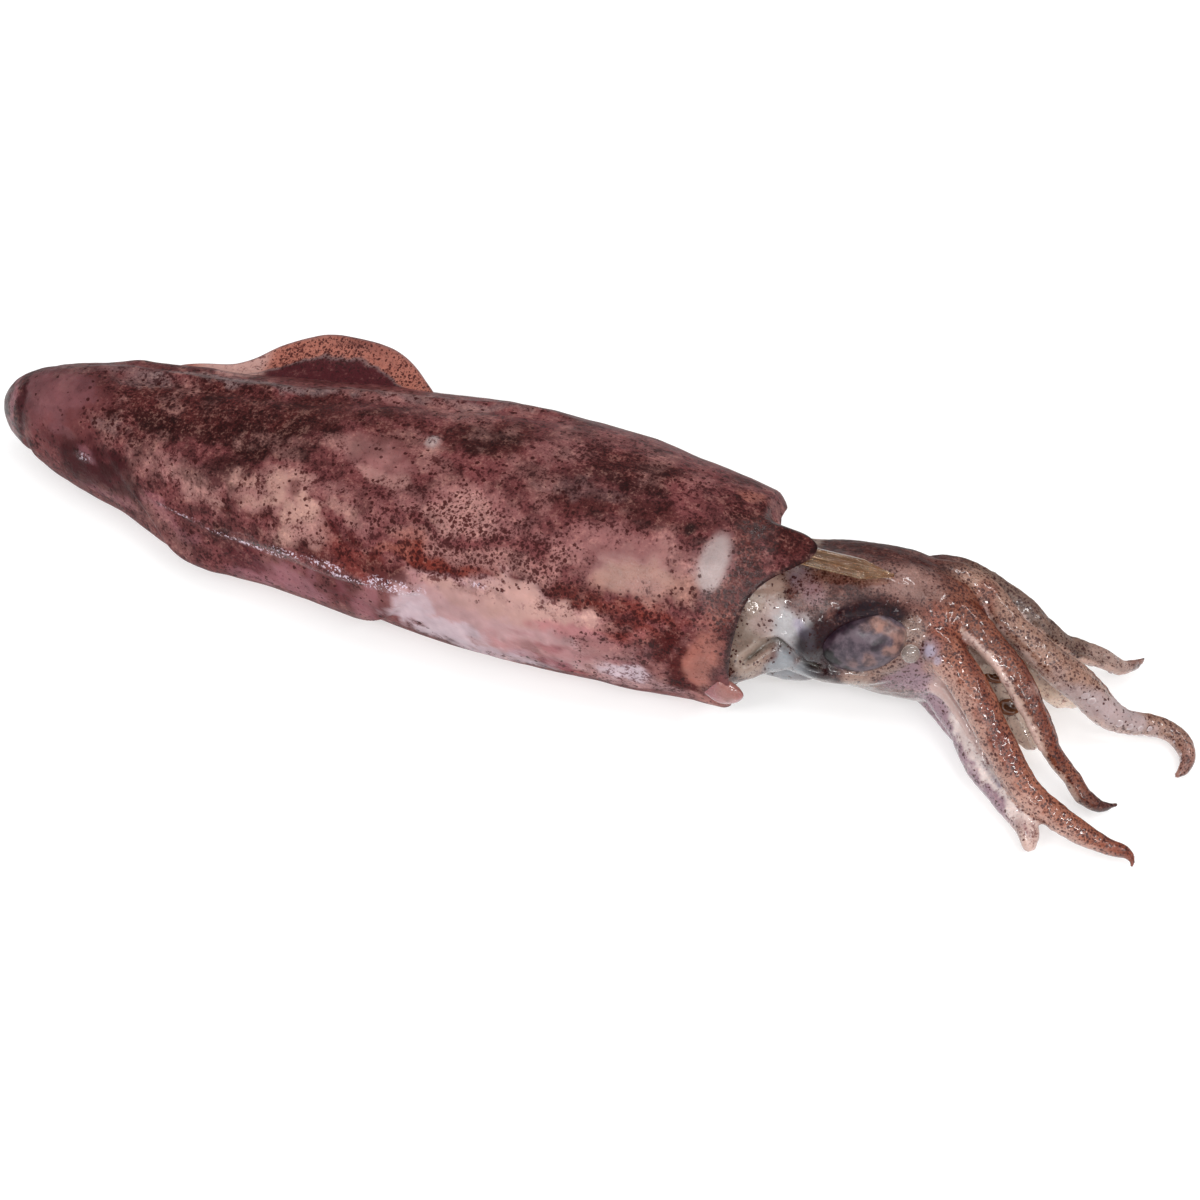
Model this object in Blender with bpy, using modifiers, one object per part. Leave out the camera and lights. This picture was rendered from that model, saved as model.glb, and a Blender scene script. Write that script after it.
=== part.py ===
"""A whole raw squid lying on its belly: mantle with both fins, head with arms and funnel, two eyes and the pen.

Lengths are in millimetres along the squid until place() turns them into metres. X runs from the tail tip to the
arms, Y from the near flank to the far flank, and Z up from the table.
"""
import math

import bmesh
import bpy
import numpy as np
from mathutils import Matrix, Vector

MM = 0.001

# Driving sizes
MANTLE_LENGTH = 225.0
ORIGIN = (161.5, 0.3)        # the point of the table under the middle of the whole squid
GAP = 0.35                   # clear space left between neighbouring pieces

# Mantle: distance from the tail tip, half width, height of the back, height of the underside
MANTLE_STATIONS = (
    (0.0, 0.0, 15.0, 15.0),
    (2.0, 5.4, 21.2, 9.8),
    (9.0, 10.2, 26.6, 4.6),
    (25.0, 16.0, 31.5, 0.6),
    (45.0, 21.0, 34.5, 0.0),
    (75.0, 26.5, 39.0, 0.0),
    (110.0, 31.5, 44.8, 0.0),
    (150.0, 34.2, 49.8, 0.0),
    (190.0, 30.5, 51.0, 0.0),
    (212.0, 26.5, 49.5, 0.0),
    (226.0, 25.0, 48.0, 0.0),
)
WIDEST_LEVEL = 0.44          # share of the height at which the mantle is widest
BACK_ROUNDNESS = 2.1
BELLY_ROUNDNESS = 2.3
BELLY_PRESS = 1.5            # how far the soft belly is pressed flat by the table

# Rim of the mantle: it reaches furthest forward on the midline of the back
RIM_SIDE = 212.5
RIM_LOBE = MANTLE_LENGTH - RIM_SIDE
RIM_LOBE_NEAR = 26.0         # degrees over which the lobe fades on the near side
RIM_LOBE_FAR = 13.0
RIM_WALL = 3.0
POCKET_DEPTH = 26.0
FLAP_ANGLE = 104.0           # the loose corner of skin low on the near side of the rim
FLAP_SPREAD = 15.0
FLAP_REACH = 4.0
FLAP_FLARE = 1.4

# Fins
FIN_START = 16.0
FIN_END = 151.0
FIN_WIDEST = 84.0
NEAR_FIN_ROOT = 26.0         # degrees from the back's midline
NEAR_FIN_LOW = 122.0
NEAR_FIN_THICKNESS = 1.8
NEAR_CORNER_FLARE = 4.0
FAR_FIN_ROOT = -20.0
FAR_FIN_THICKNESS = 2.6
FAR_FIN_OUTLINE = (          # distance from the tail tip, and the fin's width there
    (16.0, 0.5), (40.0, 7.0), (60.0, 15.0), (70.0, 22.5), (80.0, 26.0), (92.0, 27.0),
    (104.0, 24.0), (114.0, 17.0), (122.0, 10.5), (135.0, 6.0), (151.0, 0.5),
)
FAR_FIN_DIP = 5.5            # depth of the valley between the back and the lifted lobe
FAR_FIN_DIP_ENDS = 10.0
FAR_FIN_VALLEY = 26.0        # width of that valley

# Head: centre line points with half width across the eyes and half depth from crown to throat
HEAD_ROLL = 33.0             # degrees that the near eye is turned up
HEAD_STATIONS = (
    (201.0, 3.0, 21.0, 11.0, 10.0),
    (207.0, 3.4, 20.8, 15.5, 15.0),
    (216.0, 4.8, 19.2, 17.2, 16.2),
    (228.0, 7.6, 18.7, 18.6, 17.4),
    (240.0, 9.4, 18.4, 20.0, 18.0),
    (252.0, 9.8, 17.8, 18.0, 17.2),
    (262.0, 9.6, 17.0, 14.5, 14.5),
    (269.0, 9.2, 16.0, 8.0, 9.0),
)

# Arms and tentacles: points of the centre line with the half thickness there
ARMS = {
    "upper_far": (
        (246, 22, 22, 5.5), (256, 24, 25, 4.6), (266, 23.5, 24, 3.6), (276, 21, 21, 3.1), (281, 20, 18, 2.8),
        (286, 21, 14, 2.7), (290, 23, 11, 2.8), (295, 25, 8.5, 2.7), (299, 26, 6, 2.2), (303, 31, 3.5, 1.2),
        (304.5, 34, 2.8, 0.5),
    ),
    "upper_middle": (
        (246, 16, 27, 6.0), (260, 20, 27, 4.6), (267, 17, 26.5, 3.9), (273, 12, 25.5, 3.8), (279, 10, 23.5, 3.9),
        (285, 9, 20, 4.2), (290, 9, 17, 4.4), (295, 9, 13, 4.3), (300, 8, 9.5, 3.9), (305, 9, 7, 3.1),
        (310, 11.5, 5, 2.8), (315, 12.5, 4, 2.5), (319, 10.5, 3.6, 2.4), (321.3, 6.4, 3.2, 2.0), (321, 3, 2.6, 1.4),
        (319.5, 0.6, 2, 0.5),
    ),
    "middle": (
        (246, 12, 26, 7.0), (257, 11, 28, 5.0), (264, 7, 28, 4.2), (271, 3, 26.5, 3.7), (276.5, -0.5, 25, 3.4),
        (280.5, -4, 23, 3.3), (284.5, -7, 20, 3.1), (287.5, -9, 17, 2.8), (290, -11, 14, 2.5), (293, -12, 11, 2.3),
        (297, -13, 7.5, 2.2), (301, -15, 4.5, 2.0), (304.5, -15, 3, 1.5), (309, -12, 2, 0.5),
    ),
    "long_near": (
        (244, 6, 22, 8.0), (255, 2, 26, 6.0), (261, -3, 26, 5.0), (267, -7, 24.5, 4.7), (272, -11, 21.5, 4.4),
        (276, -14.5, 18.5, 4.2), (280.5, -18, 15.5, 4.0), (285, -21.5, 12.5, 3.9), (290, -24, 10, 3.6),
        (295, -25, 8, 3.3), (300, -26, 6.5, 2.9), (305, -26.5, 5, 2.5), (310, -26.5, 4, 2.0), (314, -26, 3.2, 1.5),
        (316, -27, 2.4, 1.0), (316, -29, 1.8, 0.4),
    ),
    "short_near": (
        (243, 6, 14, 8.0), (253, 2.8, 15, 5.6), (259, -1.0, 13, 4.8), (264.5, -4.8, 10.6, 4.5), (269, -9, 9, 4.2),
        (273, -14, 7.5, 4.1), (277.5, -18, 6.5, 4.0), (282, -21.5, 6, 3.8), (286.5, -25, 5.5, 3.5),
        (289.6, -28, 5, 3.0), (291.4, -30.8, 4.4, 2.5), (292, -33, 3.8, 1.7),
    ),
    "hidden_far": (
        (248, 17, 13, 7.0), (260, 19, 9, 5.0), (272, 20, 6, 4.0), (283, 20, 4, 3.0), (290, 19, 3, 1.6),
        (292.5, 18, 2.4, 0.6),
    ),
    "hidden_middle": (
        (248, 8, 11, 7.0), (260, 5, 8, 5.2), (270, 0, 5.5, 4.4), (277, -5, 4, 3.2), (281, -9, 3, 1.8),
        (282.5, -11, 2.4, 0.6),
    ),
    "hidden_near": (
        (246, 6, 9, 7.0), (257, 1.5, 7, 4.6), (266, -4.5, 5, 3.8), (274, -11, 3.8, 2.8), (280, -16, 2.8, 1.6),
        (282, -18.5, 2, 0.6),
    ),
    "tentacle_near": (
        (246, 12, 16, 7.0), (258, 12, 16, 5.6), (266, 9, 14.5, 5.2), (273, 4.5, 12.5, 5.0), (279, -0.5, 10.5, 4.8),
        (283, -4.5, 9, 4.2), (285, -6.5, 8.4, 2.4),
    ),
    "tentacle_far": (
        (248, 16, 18, 7.0), (260, 17, 17, 5.4), (270, 15, 15, 5.0), (278, 12.5, 12.5, 4.8), (285, 11, 10.5, 4.4),
        (289.5, 10, 9, 3.8), (291.5, 9.6, 8.4, 2.0),
    ),
}
FUNNEL = ((204, -2, 13, 4.6), (211, -4.6, 10.6, 5.4), (219, -5.4, 9.2, 5.6), (226, -4.4, 8.4, 5.0), (232, -2.5, 8, 3.0))

# Eyes: half length along the head, half height, half depth
EYE_SIZE = (9.6, 7.6, 5.6)
EYE_STATION = 240.6
EYE_ROLL = 27.0              # degrees that the near eye looks above the level
EYE_SINK = 3.4               # how far the eye's centre lies under the skin

# Pen: the clear stiff blade that slips out under the rim's lobe and lies on the head
PEN_BACK = (209.0, 0.4, 43.4)
PEN_FRONT = (243.5, 6.6, 38.6)
PEN_HALF_WIDTH = 3.1
PEN_THICKNESS = 0.9
PEN_POINT = 8.0              # length of the tapered end

SKIN_SEGMENTS = 40
SKIN_RINGS = 40
ARM_SIDES = 12
FUSE_VOXEL = 0.8
HEAD_TRIANGLES = 5200


def clear_scene():
    """Remove what a new file starts with."""
    for thing in list(bpy.data.objects):
        bpy.data.objects.remove(thing, do_unlink=True)


def flesh(name, colour, roughness):
    """A plain wet-flesh material."""
    material = bpy.data.materials.new(name)
    material.use_nodes = True
    shader = material.node_tree.nodes["Principled BSDF"]
    shader.inputs["Base Color"].default_value = (*colour, 1.0)
    shader.inputs["Roughness"].default_value = roughness
    shader.inputs["Metallic"].default_value = 0.0
    return material


def smooth_curve(stations, at):
    """Values of a smooth curve through the stations, whose first column is the position along it."""
    table = np.asarray(stations, float)
    places, values = table[:, 0], table[:, 1:]
    at = np.clip(np.asarray(at, float), places[0], places[-1])
    slopes = np.gradient(values, places, axis=0)
    left = np.clip(np.searchsorted(places, at, side="right") - 1, 0, len(places) - 2)
    span = (places[left + 1] - places[left])[..., None]
    share = (at - places[left])[..., None] / span
    square, cube = share**2, share**3
    return (
        (2 * cube - 3 * square + 1) * values[left]
        + (cube - 2 * square + share) * span * slopes[left]
        + (3 * square - 2 * cube) * values[left + 1]
        + (cube - square) * span * slopes[left + 1]
    )


def rounded(value, roundness):
    """A cosine or sine bent towards a fuller oval."""
    return np.sign(value) * np.abs(value) ** (2.0 / roundness)


def bump(value, centre, spread):
    """A smooth hill of height 1."""
    return np.exp(-(((value - centre) / spread) ** 2))


def ramp(value, low, high):
    """0 below low, 1 above high, smooth between."""
    share = np.clip((value - low) / (high - low), 0.0, 1.0)
    return share * share * (3.0 - 2.0 * share)


def mantle_sizes(x):
    """Half width, back and underside of the mantle; the square root keeps the tail tip round."""
    rooted = [(math.sqrt(s[0]), *s[1:]) for s in MANTLE_STATIONS]
    return np.moveaxis(smooth_curve(rooted, np.sqrt(np.clip(x, 0.0, None))), -1, 0)


def near_fin_edge(x):
    """Angle that the near fin's margin reaches down the flank."""
    back = ramp(x, FIN_START, FIN_WIDEST - 4.0)
    front = 1.0 - ramp(x, FIN_WIDEST + 4.0, FIN_END + 6.0)
    return NEAR_FIN_ROOT + (NEAR_FIN_LOW - NEAR_FIN_ROOT) * np.minimum(back, front)


def mantle_skin(x, angle):
    """Points of the mantle's outer skin; angle 0 is the back's midline and 90 the near flank, in degrees."""
    half, top, bottom = mantle_sizes(x)
    bottom = np.maximum(bottom, 0.0)
    turn = np.radians(angle)
    up, side = np.cos(turn), np.sin(turn)
    level = bottom + WIDEST_LEVEL * (top - bottom)
    upper = up >= 0
    press = BELLY_PRESS * ramp(x, 20.0, 50.0)
    edge = near_fin_edge(x)
    on_fin = ramp(angle, NEAR_FIN_ROOT, NEAR_FIN_ROOT + 12.0) * (1.0 - ramp(angle, edge - 3.0, edge + 3.0))
    on_fin = on_fin * (edge > NEAR_FIN_ROOT + 4.0)
    corner = bump(x, FIN_WIDEST - 17.0, 16.0) * bump(angle, 106.0, 16.0)
    flap = ramp(x, 200.0, 212.0) * bump(angle, FLAP_ANGLE, FLAP_SPREAD)
    lift = NEAR_FIN_THICKNESS * on_fin + NEAR_CORNER_FLARE * corner + FLAP_FLARE * flap
    y = -half * rounded(side, np.where(upper, BACK_ROUNDNESS, BELLY_ROUNDNESS))
    rise = np.where(upper, (top - level) * rounded(up, BACK_ROUNDNESS),
                    (level - bottom + press) * rounded(up, BELLY_ROUNDNESS))
    z = np.maximum(level + rise + lift * up, bottom)
    return np.stack([x + 0.0 * y, y - lift * side, z], axis=-1)


def rim_place(angle):
    """How far forward the rim reaches at an angle round the mantle."""
    fade = np.where(angle >= 0.0, RIM_LOBE_NEAR, RIM_LOBE_FAR)
    flap = FLAP_REACH * bump(angle, FLAP_ANGLE, FLAP_SPREAD)
    return RIM_SIDE + RIM_LOBE * np.exp(-((angle / fade) ** 2)) + flap


def sock(along, angle):
    """Mantle point for along 0 at the tail tip, over the rim at 0.8, and 1 at the bottom of the pocket."""
    rim = rim_place(angle)
    outside = np.clip(along / 0.78, 0.0, 1.0) ** 1.35
    over = np.clip((along - 0.78) / 0.06, 0.0, 1.0)
    inside = np.clip((along - 0.84) / 0.08, 0.0, 1.0)
    closing = np.clip((along - 0.92) / 0.08, 0.0, 1.0)
    floor = RIM_SIDE - POCKET_DEPTH
    x = rim * outside + 1.3 * np.sin(np.pi * over) - 1.5 * over
    x = x + (floor - (rim - 1.5)) * inside
    skin = mantle_skin(x, angle)
    _, top, bottom = mantle_sizes(x)
    middle = np.stack([x, 0.0 * x, (top + bottom) / 2], axis=-1)
    reach = np.linalg.norm((skin - middle)[..., 1:], axis=-1)
    shrink = 1.0 - over * RIM_WALL / np.maximum(reach, RIM_WALL * 1.01)
    shrink = shrink * (1.0 - closing)
    return middle + (skin - middle) * shrink[..., None]


def place(points):
    """Layout millimetres to metres about the origin."""
    shifted = np.asarray(points, float) - np.array([ORIGIN[0], ORIGIN[1], 0.0])
    return shifted * MM


def move_vertices(mesh, points):
    """Give every vertex its new place."""
    for vertex, point in zip(mesh.verts, place(points)):
        vertex.co = Vector(point)


def add_object(name, mesh, collection, material):
    """Turn a bmesh into a named, smooth shaded object."""
    bmesh.ops.recalc_face_normals(mesh, faces=mesh.faces)
    data = bpy.data.meshes.new(name)
    mesh.to_mesh(data)
    mesh.free()
    data.shade_smooth()
    data.materials.append(material)
    thing = bpy.data.objects.new(name, data)
    collection.objects.link(thing)
    return thing


def ball_angles(mesh):
    """Share of the way from the first pole to the last, and the angle round the axis, of each vertex."""
    spots = np.array([vertex.co.normalized() for vertex in mesh.verts])
    along = np.arccos(np.clip(spots[:, 2], -1.0, 1.0)) / np.pi
    around = np.degrees(np.arctan2(spots[:, 1], spots[:, 0]))
    return along, around


def mantle_mesh():
    """The mantle with its pocket and the near fin lying on the flank."""
    mesh = bmesh.new()
    bmesh.ops.create_uvsphere(mesh, u_segments=SKIN_SEGMENTS, v_segments=SKIN_RINGS, radius=1.0)
    along, around = ball_angles(mesh)
    move_vertices(mesh, sock(along, around))
    return mesh


def far_fin_points(along, out):
    """Middle surface of the far fin: along 0 to 1 from tail to front, out 0 at the root to 1 at the margin."""
    x = FIN_START + (FIN_END - FIN_START) * along
    root = mantle_skin(x, np.full_like(x, FAR_FIN_ROOT))
    reach = smooth_curve(FAR_FIN_OUTLINE, x)[..., 0] * out
    lobe = ramp(x, 58.0, 72.0) * (1.0 - ramp(x, 108.0, 124.0))
    dip = FAR_FIN_DIP_ENDS + (FAR_FIN_DIP - FAR_FIN_DIP_ENDS) * lobe
    valley = dip * np.sin(np.pi * np.clip(reach / FAR_FIN_VALLEY, 0.0, 1.0))
    sink = 1.6 * (1.0 - out)
    y = root[..., 1] + 0.92 * reach - 1.0
    z = root[..., 2] - 0.08 * reach - valley - sink
    return np.stack([x - 0.06 * reach, y, z], axis=-1)


def far_fin_mesh():
    """The far fin, a thin sheet that dips behind the back and lifts again at its outer lobe."""
    mesh = bmesh.new()
    bmesh.ops.create_grid(mesh, x_segments=24, y_segments=7, size=0.5)
    spots = np.array([vertex.co for vertex in mesh.verts]) + 0.5
    move_vertices(mesh, far_fin_points(spots[:, 0], spots[:, 1]))
    return mesh


def route(points, count):
    """Evenly spread places, directions and half thicknesses along a smooth limb."""
    points = np.asarray(points, float)
    steps = np.linalg.norm(np.diff(points[:, :3], axis=0), axis=1)
    lengths = np.r_[0.0, np.cumsum(steps)]
    table = np.c_[lengths, points]
    at = np.linspace(0.0, lengths[-1], count)
    values = smooth_curve(table, at)
    ahead = np.gradient(values[:, :3], at, axis=0)
    ahead /= np.linalg.norm(ahead, axis=1)[:, None]
    return lengths[-1], at, values, ahead


def limb_mesh(points, sides=ARM_SIDES, squeeze=1.0):
    """A tapering limb with round ends, swept along its centre line."""
    count = max(8, int(len(points) * 1.8))
    mesh = bmesh.new()
    bmesh.ops.create_uvsphere(mesh, u_segments=sides, v_segments=count, radius=1.0)
    along, around = ball_angles(mesh)
    length, at, values, ahead = route(points, 120)
    start, end = values[0, 3], values[-1, 3]
    travel = -start + (length + start + end) * along
    inner = np.clip(travel, 0.0, length)
    spot = np.stack([np.interp(inner, at, values[:, k]) for k in range(3)], axis=-1)
    thick = np.interp(inner, at, values[:, 3])
    forward = np.stack([np.interp(inner, at, ahead[:, k]) for k in range(3)], axis=-1)
    forward /= np.linalg.norm(forward, axis=1)[:, None]
    past = travel - inner
    thick = thick * np.sqrt(np.clip(1.0 - (past / np.maximum(thick, 1e-6)) ** 2, 0.0, 1.0))
    sideways = np.cross(forward, (0.0, 0.0, 1.0))
    sideways /= np.linalg.norm(sideways, axis=1)[:, None]
    upward = np.cross(sideways, forward)
    turn = np.radians(around)
    spot = spot + forward * past[:, None]
    spot = spot + sideways * (thick * np.cos(turn))[:, None]
    spot = spot + upward * (thick * squeeze * np.sin(turn))[:, None]
    move_vertices(mesh, spot)
    return mesh


def head_points(along, around):
    """Points of the head's skin, from the neck inside the mantle to the crown between the arms."""
    table = np.asarray(HEAD_STATIONS, float)
    start, end = table[0, 0], table[-1, 0]
    travel = start - 4.0 + (end - start + 10.0) * (1.0 - np.cos(np.pi * along)) / 2
    inside = np.clip(travel, start, end)
    values = smooth_curve(table, inside)
    past = np.where(travel < start, (start - travel) / 4.0, np.where(travel > end, (travel - end) / 6.0, 0.0))
    shrink = np.sqrt(np.clip(1.0 - past**2, 0.0, 1.0))
    turn, roll = np.radians(around), math.radians(HEAD_ROLL)
    across = values[:, 2] * shrink * np.cos(turn)
    depth = values[:, 3] * shrink * np.sin(turn)
    y = values[:, 0] - across * math.cos(roll) + depth * math.sin(roll)
    z = values[:, 1] + across * math.sin(roll) + depth * math.cos(roll)
    return np.stack([travel, y, z], axis=-1)


def head_mesh():
    """The head without its arms."""
    mesh = bmesh.new()
    bmesh.ops.create_uvsphere(mesh, u_segments=32, v_segments=24, radius=1.0)
    along, around = ball_angles(mesh)
    move_vertices(mesh, head_points(along, around))
    return mesh


def eye_frame(side):
    """Turned frame at an eye: side +1 is the near eye, which looks up, and -1 the far one."""
    values = smooth_curve(HEAD_STATIONS, EYE_STATION)
    roll = math.radians(EYE_ROLL)
    outward = Vector((0.0, -math.cos(roll), math.sin(roll))) * side
    centre = Vector((EYE_STATION, values[0], values[1])) + outward * (values[2] - EYE_SINK)
    forward = Vector((1.0, 0.0, 0.0))
    turned = Matrix((forward, outward.cross(forward), outward)).transposed().to_4x4()
    spot = Vector(place(centre))
    return Matrix.Translation(spot) @ turned


def eye_mesh(side, grow):
    """An eyeball, or with grow the room it needs."""
    mesh = bmesh.new()
    bmesh.ops.create_uvsphere(mesh, u_segments=20, v_segments=12, radius=1.0)
    size = [(half + grow) * MM for half in EYE_SIZE]
    bmesh.ops.transform(mesh, matrix=eye_frame(side) @ Matrix.Diagonal((*size, 1.0)), verts=mesh.verts)
    return mesh


def pen_mesh():
    """The pen's blade, a thin strip with a long point, lying slightly turned."""
    mesh = bmesh.new()
    bmesh.ops.create_cube(mesh, size=1.0)
    bmesh.ops.subdivide_edges(mesh, edges=[e for e in mesh.edges if abs((e.verts[0].co - e.verts[1].co).x) > 0.5],
                              cuts=3, use_grid_fill=True)
    back, front = Vector(PEN_BACK), Vector(PEN_FRONT)
    ahead = (front - back).normalized()
    sideways = Vector((0.0, 0.0, 1.0)).cross(ahead).normalized()
    upward = ahead.cross(sideways)
    length = (front - back).length
    for vertex in mesh.verts:
        along = (vertex.co.x + 0.5) * length
        narrow = min(1.0, (length - along) / PEN_POINT + 0.12)
        width = 2.0 * PEN_HALF_WIDTH * narrow * vertex.co.y
        spot = back + ahead * along + sideways * width + upward * (PEN_THICKNESS * vertex.co.z)
        vertex.co = Vector(place(spot))
    return mesh


def flatten_underside(mesh):
    """Press everything that would sink into the table flat on it."""
    for vertex in mesh.verts:
        vertex.co.z = max(vertex.co.z, 0.0)


def settle(thing):
    """Replace an object's mesh by its evaluated one, without its modifiers."""
    view = bpy.context.evaluated_depsgraph_get()
    data = bpy.data.meshes.new_from_object(thing.evaluated_get(view))
    thing.modifiers.clear()
    thing.data = data


def join_pieces(name, meshes, collection, material):
    """Put several bmeshes in one object, still as separate bodies."""
    whole = bmesh.new()
    for mesh in meshes:
        bmesh.ops.recalc_face_normals(mesh, faces=mesh.faces)
        spare = bpy.data.meshes.new("spare")
        mesh.to_mesh(spare)
        mesh.free()
        whole.from_mesh(spare)
        bpy.data.meshes.remove(spare)
    data = bpy.data.meshes.new(name)
    whole.to_mesh(data)
    whole.free()
    data.materials.append(material)
    thing = bpy.data.objects.new(name, data)
    collection.objects.link(thing)
    return thing


def keep_largest_body(mesh):
    """Drop the small closed shells that fusing leaves inside or beside the body."""
    unseen = set(mesh.verts)
    bodies = []
    while unseen:
        start = unseen.pop()
        body, queue = {start}, [start]
        while queue:
            for edge in queue.pop().link_edges:
                for vertex in edge.verts:
                    if vertex in unseen:
                        unseen.discard(vertex)
                        body.add(vertex)
                        queue.append(vertex)
        bodies.append(body)
    largest = max(bodies, key=len)
    scraps = [vertex for vertex in mesh.verts if vertex not in largest]
    bmesh.ops.delete(mesh, geom=scraps, context="VERTS")


def build_head(collection, cutters, material):
    """Fuse head, arms, tentacles and funnel into one body and cut the eye sockets."""
    pieces = [head_mesh(), limb_mesh(FUNNEL)]
    pieces += [limb_mesh(points) for points in ARMS.values()]
    head = join_pieces("head", pieces, collection, material)
    fuse = head.modifiers.new("fuse", "REMESH")
    fuse.mode = "VOXEL"
    fuse.voxel_size = FUSE_VOXEL * MM
    soften = head.modifiers.new("soften", "SMOOTH")
    soften.factor = 0.5
    soften.iterations = 3
    settle(head)
    mesh = bmesh.new()
    mesh.from_mesh(head.data)
    keep_largest_body(mesh)
    share = HEAD_TRIANGLES / (2.0 * len(mesh.faces))
    mesh.to_mesh(head.data)
    mesh.free()
    thin = head.modifiers.new("thin", "DECIMATE")
    thin.ratio = share
    settle(head)
    mesh = bmesh.new()
    mesh.from_mesh(head.data)
    flatten_underside(mesh)
    mesh.to_mesh(head.data)
    mesh.free()
    for name, side in (("near_socket", 1), ("far_socket", -1)):
        socket = add_object(name, eye_mesh(side, GAP), cutters, material)
        socket.hide_render = True
        socket.display_type = "WIRE"
        cut = head.modifiers.new(name, "BOOLEAN")
        cut.operation = "DIFFERENCE"
        cut.object = socket
    head.data.shade_smooth()
    return head


def build_mantle(collection, cutters, material):
    """Fuse the far fin to the mantle."""
    mantle = add_object("mantle", mantle_mesh(), collection, material)
    sheet = add_object("far_fin_sheet", far_fin_mesh(), cutters, material)
    wall = sheet.modifiers.new("thickness", "SOLIDIFY")
    wall.thickness = FAR_FIN_THICKNESS * MM
    wall.offset = 0.0
    sheet.hide_render = True
    sheet.display_type = "WIRE"
    join = mantle.modifiers.new("far_fin", "BOOLEAN")
    join.operation = "UNION"
    join.object = sheet
    return mantle


def main():
    clear_scene()
    squid = bpy.data.collections.new("raw_squid")
    cutters = bpy.data.collections.new("cutters")
    for collection in (squid, cutters):
        bpy.context.scene.collection.children.link(collection)
    skin = flesh("mantle_skin", (0.235, 0.085, 0.078), 0.3)
    head_skin = flesh("head_skin", (0.30, 0.15, 0.12), 0.3)
    eye_skin = flesh("eye_skin", (0.10, 0.09, 0.12), 0.15)
    horn = flesh("pen_horn", (0.35, 0.18, 0.09), 0.12)
    build_mantle(squid, cutters, skin)
    build_head(squid, cutters, head_skin)
    add_object("eye_near", eye_mesh(1, 0.0), squid, eye_skin)
    add_object("eye_far", eye_mesh(-1, 0.0), squid, eye_skin)
    add_object("pen", pen_mesh(), squid, horn)


main()
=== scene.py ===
"""Looks of the whole raw squid: wet mottled skin, speckled arms, eyes, suckers and the clear pen.

Lengths are in millimetres along the squid until place() turns them into metres: X from the tail tip to
the arms, Y from the near flank to the far flank, Z up from the table. Angles round the mantle are 0 on the
back's midline and 90 on the near flank.
"""

import math

import bmesh
import bpy
import numpy as np
from mathutils import Matrix, Vector


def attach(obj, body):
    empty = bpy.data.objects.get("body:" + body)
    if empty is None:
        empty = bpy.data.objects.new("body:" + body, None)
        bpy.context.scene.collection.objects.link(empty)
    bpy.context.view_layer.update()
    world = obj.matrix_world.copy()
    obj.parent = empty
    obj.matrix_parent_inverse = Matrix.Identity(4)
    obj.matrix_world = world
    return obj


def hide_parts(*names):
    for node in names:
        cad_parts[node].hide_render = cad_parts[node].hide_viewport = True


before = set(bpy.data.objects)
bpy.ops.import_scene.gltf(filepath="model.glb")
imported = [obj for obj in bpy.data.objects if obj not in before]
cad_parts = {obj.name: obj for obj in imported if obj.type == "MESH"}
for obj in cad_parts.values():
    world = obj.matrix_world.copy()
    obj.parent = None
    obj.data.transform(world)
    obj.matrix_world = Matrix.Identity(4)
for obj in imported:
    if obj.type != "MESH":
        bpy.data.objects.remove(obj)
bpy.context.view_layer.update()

MM = 0.001

# Driving sizes, the same as the solid model's
MANTLE_LENGTH = 225.0
ORIGIN = (161.5, 0.3, 0.0)

# Camera, in the same millimetres
CAMERA_AIM = (168.69, 4.0, 0.0)
CAMERA_AZIMUTH = 21.28
CAMERA_ELEVATION = 50.0
CAMERA_DISTANCE = 645.6
CAMERA_LENS = 75.0

# Mantle: distance from the tail tip, half width, height of the back, height of the underside
MANTLE_STATIONS = (
    (0.0, 0.0, 15.0, 15.0),
    (2.0, 5.4, 21.2, 9.8),
    (9.0, 10.2, 26.6, 4.6),
    (25.0, 16.0, 31.5, 0.6),
    (45.0, 21.0, 34.5, 0.0),
    (75.0, 26.5, 39.0, 0.0),
    (110.0, 31.5, 44.8, 0.0),
    (150.0, 34.2, 49.8, 0.0),
    (190.0, 30.5, 51.0, 0.0),
    (212.0, 26.5, 49.5, 0.0),
    (226.0, 25.0, 48.0, 0.0),
)
WIDEST_LEVEL = 0.44
BACK_ROUNDNESS = 2.1
BELLY_ROUNDNESS = 2.3
BELLY_PRESS = 1.5

# Rim of the mantle
RIM_SIDE = 212.5
RIM_LOBE = MANTLE_LENGTH - RIM_SIDE
RIM_LOBE_NEAR = 26.0
RIM_LOBE_FAR = 13.0
RIM_WALL = 3.0
FAR_RIM_TUCK = 5.0
POCKET_DEPTH = 16.0
POCKET_WALL_GROWTH = 3.5
LIP_CURL = 1.3
LIP_DROP = 1.5
FLAP_ANGLE = 104.0
FLAP_SPREAD = 15.0
FLAP_REACH = 1.6
FLAP_FLARE = 1.4
CORNER_TUCK = 5.0
FAR_CORNER_TUCK = 4.0

# Fins
FIN_START = 16.0
FIN_END = 151.0
FIN_WIDEST = 84.0
FIN_FRONT = 112.0
NEAR_FIN_ROOT = 26.0
NEAR_FIN_LOW = 122.0
NEAR_FIN_THICKNESS = 1.8
NEAR_CORNER_FLARE = 4.0
FAR_FIN_ROOT = -20.0
FAR_FIN_THICKNESS = 2.6
FAR_FIN_OUTLINE = (
    (16.0, 0.5), (40.0, 7.0), (60.0, 15.0), (70.0, 22.5), (80.0, 26.0), (92.0, 27.0), (104.0, 24.0),
    (114.0, 17.0), (122.0, 10.5), (135.0, 6.0), (151.0, 0.5),
)
FAR_FIN_DIP = 5.5
FAR_FIN_DIP_ENDS = 10.0
FAR_FIN_VALLEY = 26.0
FAR_FIN_RISE = 3.2

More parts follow.
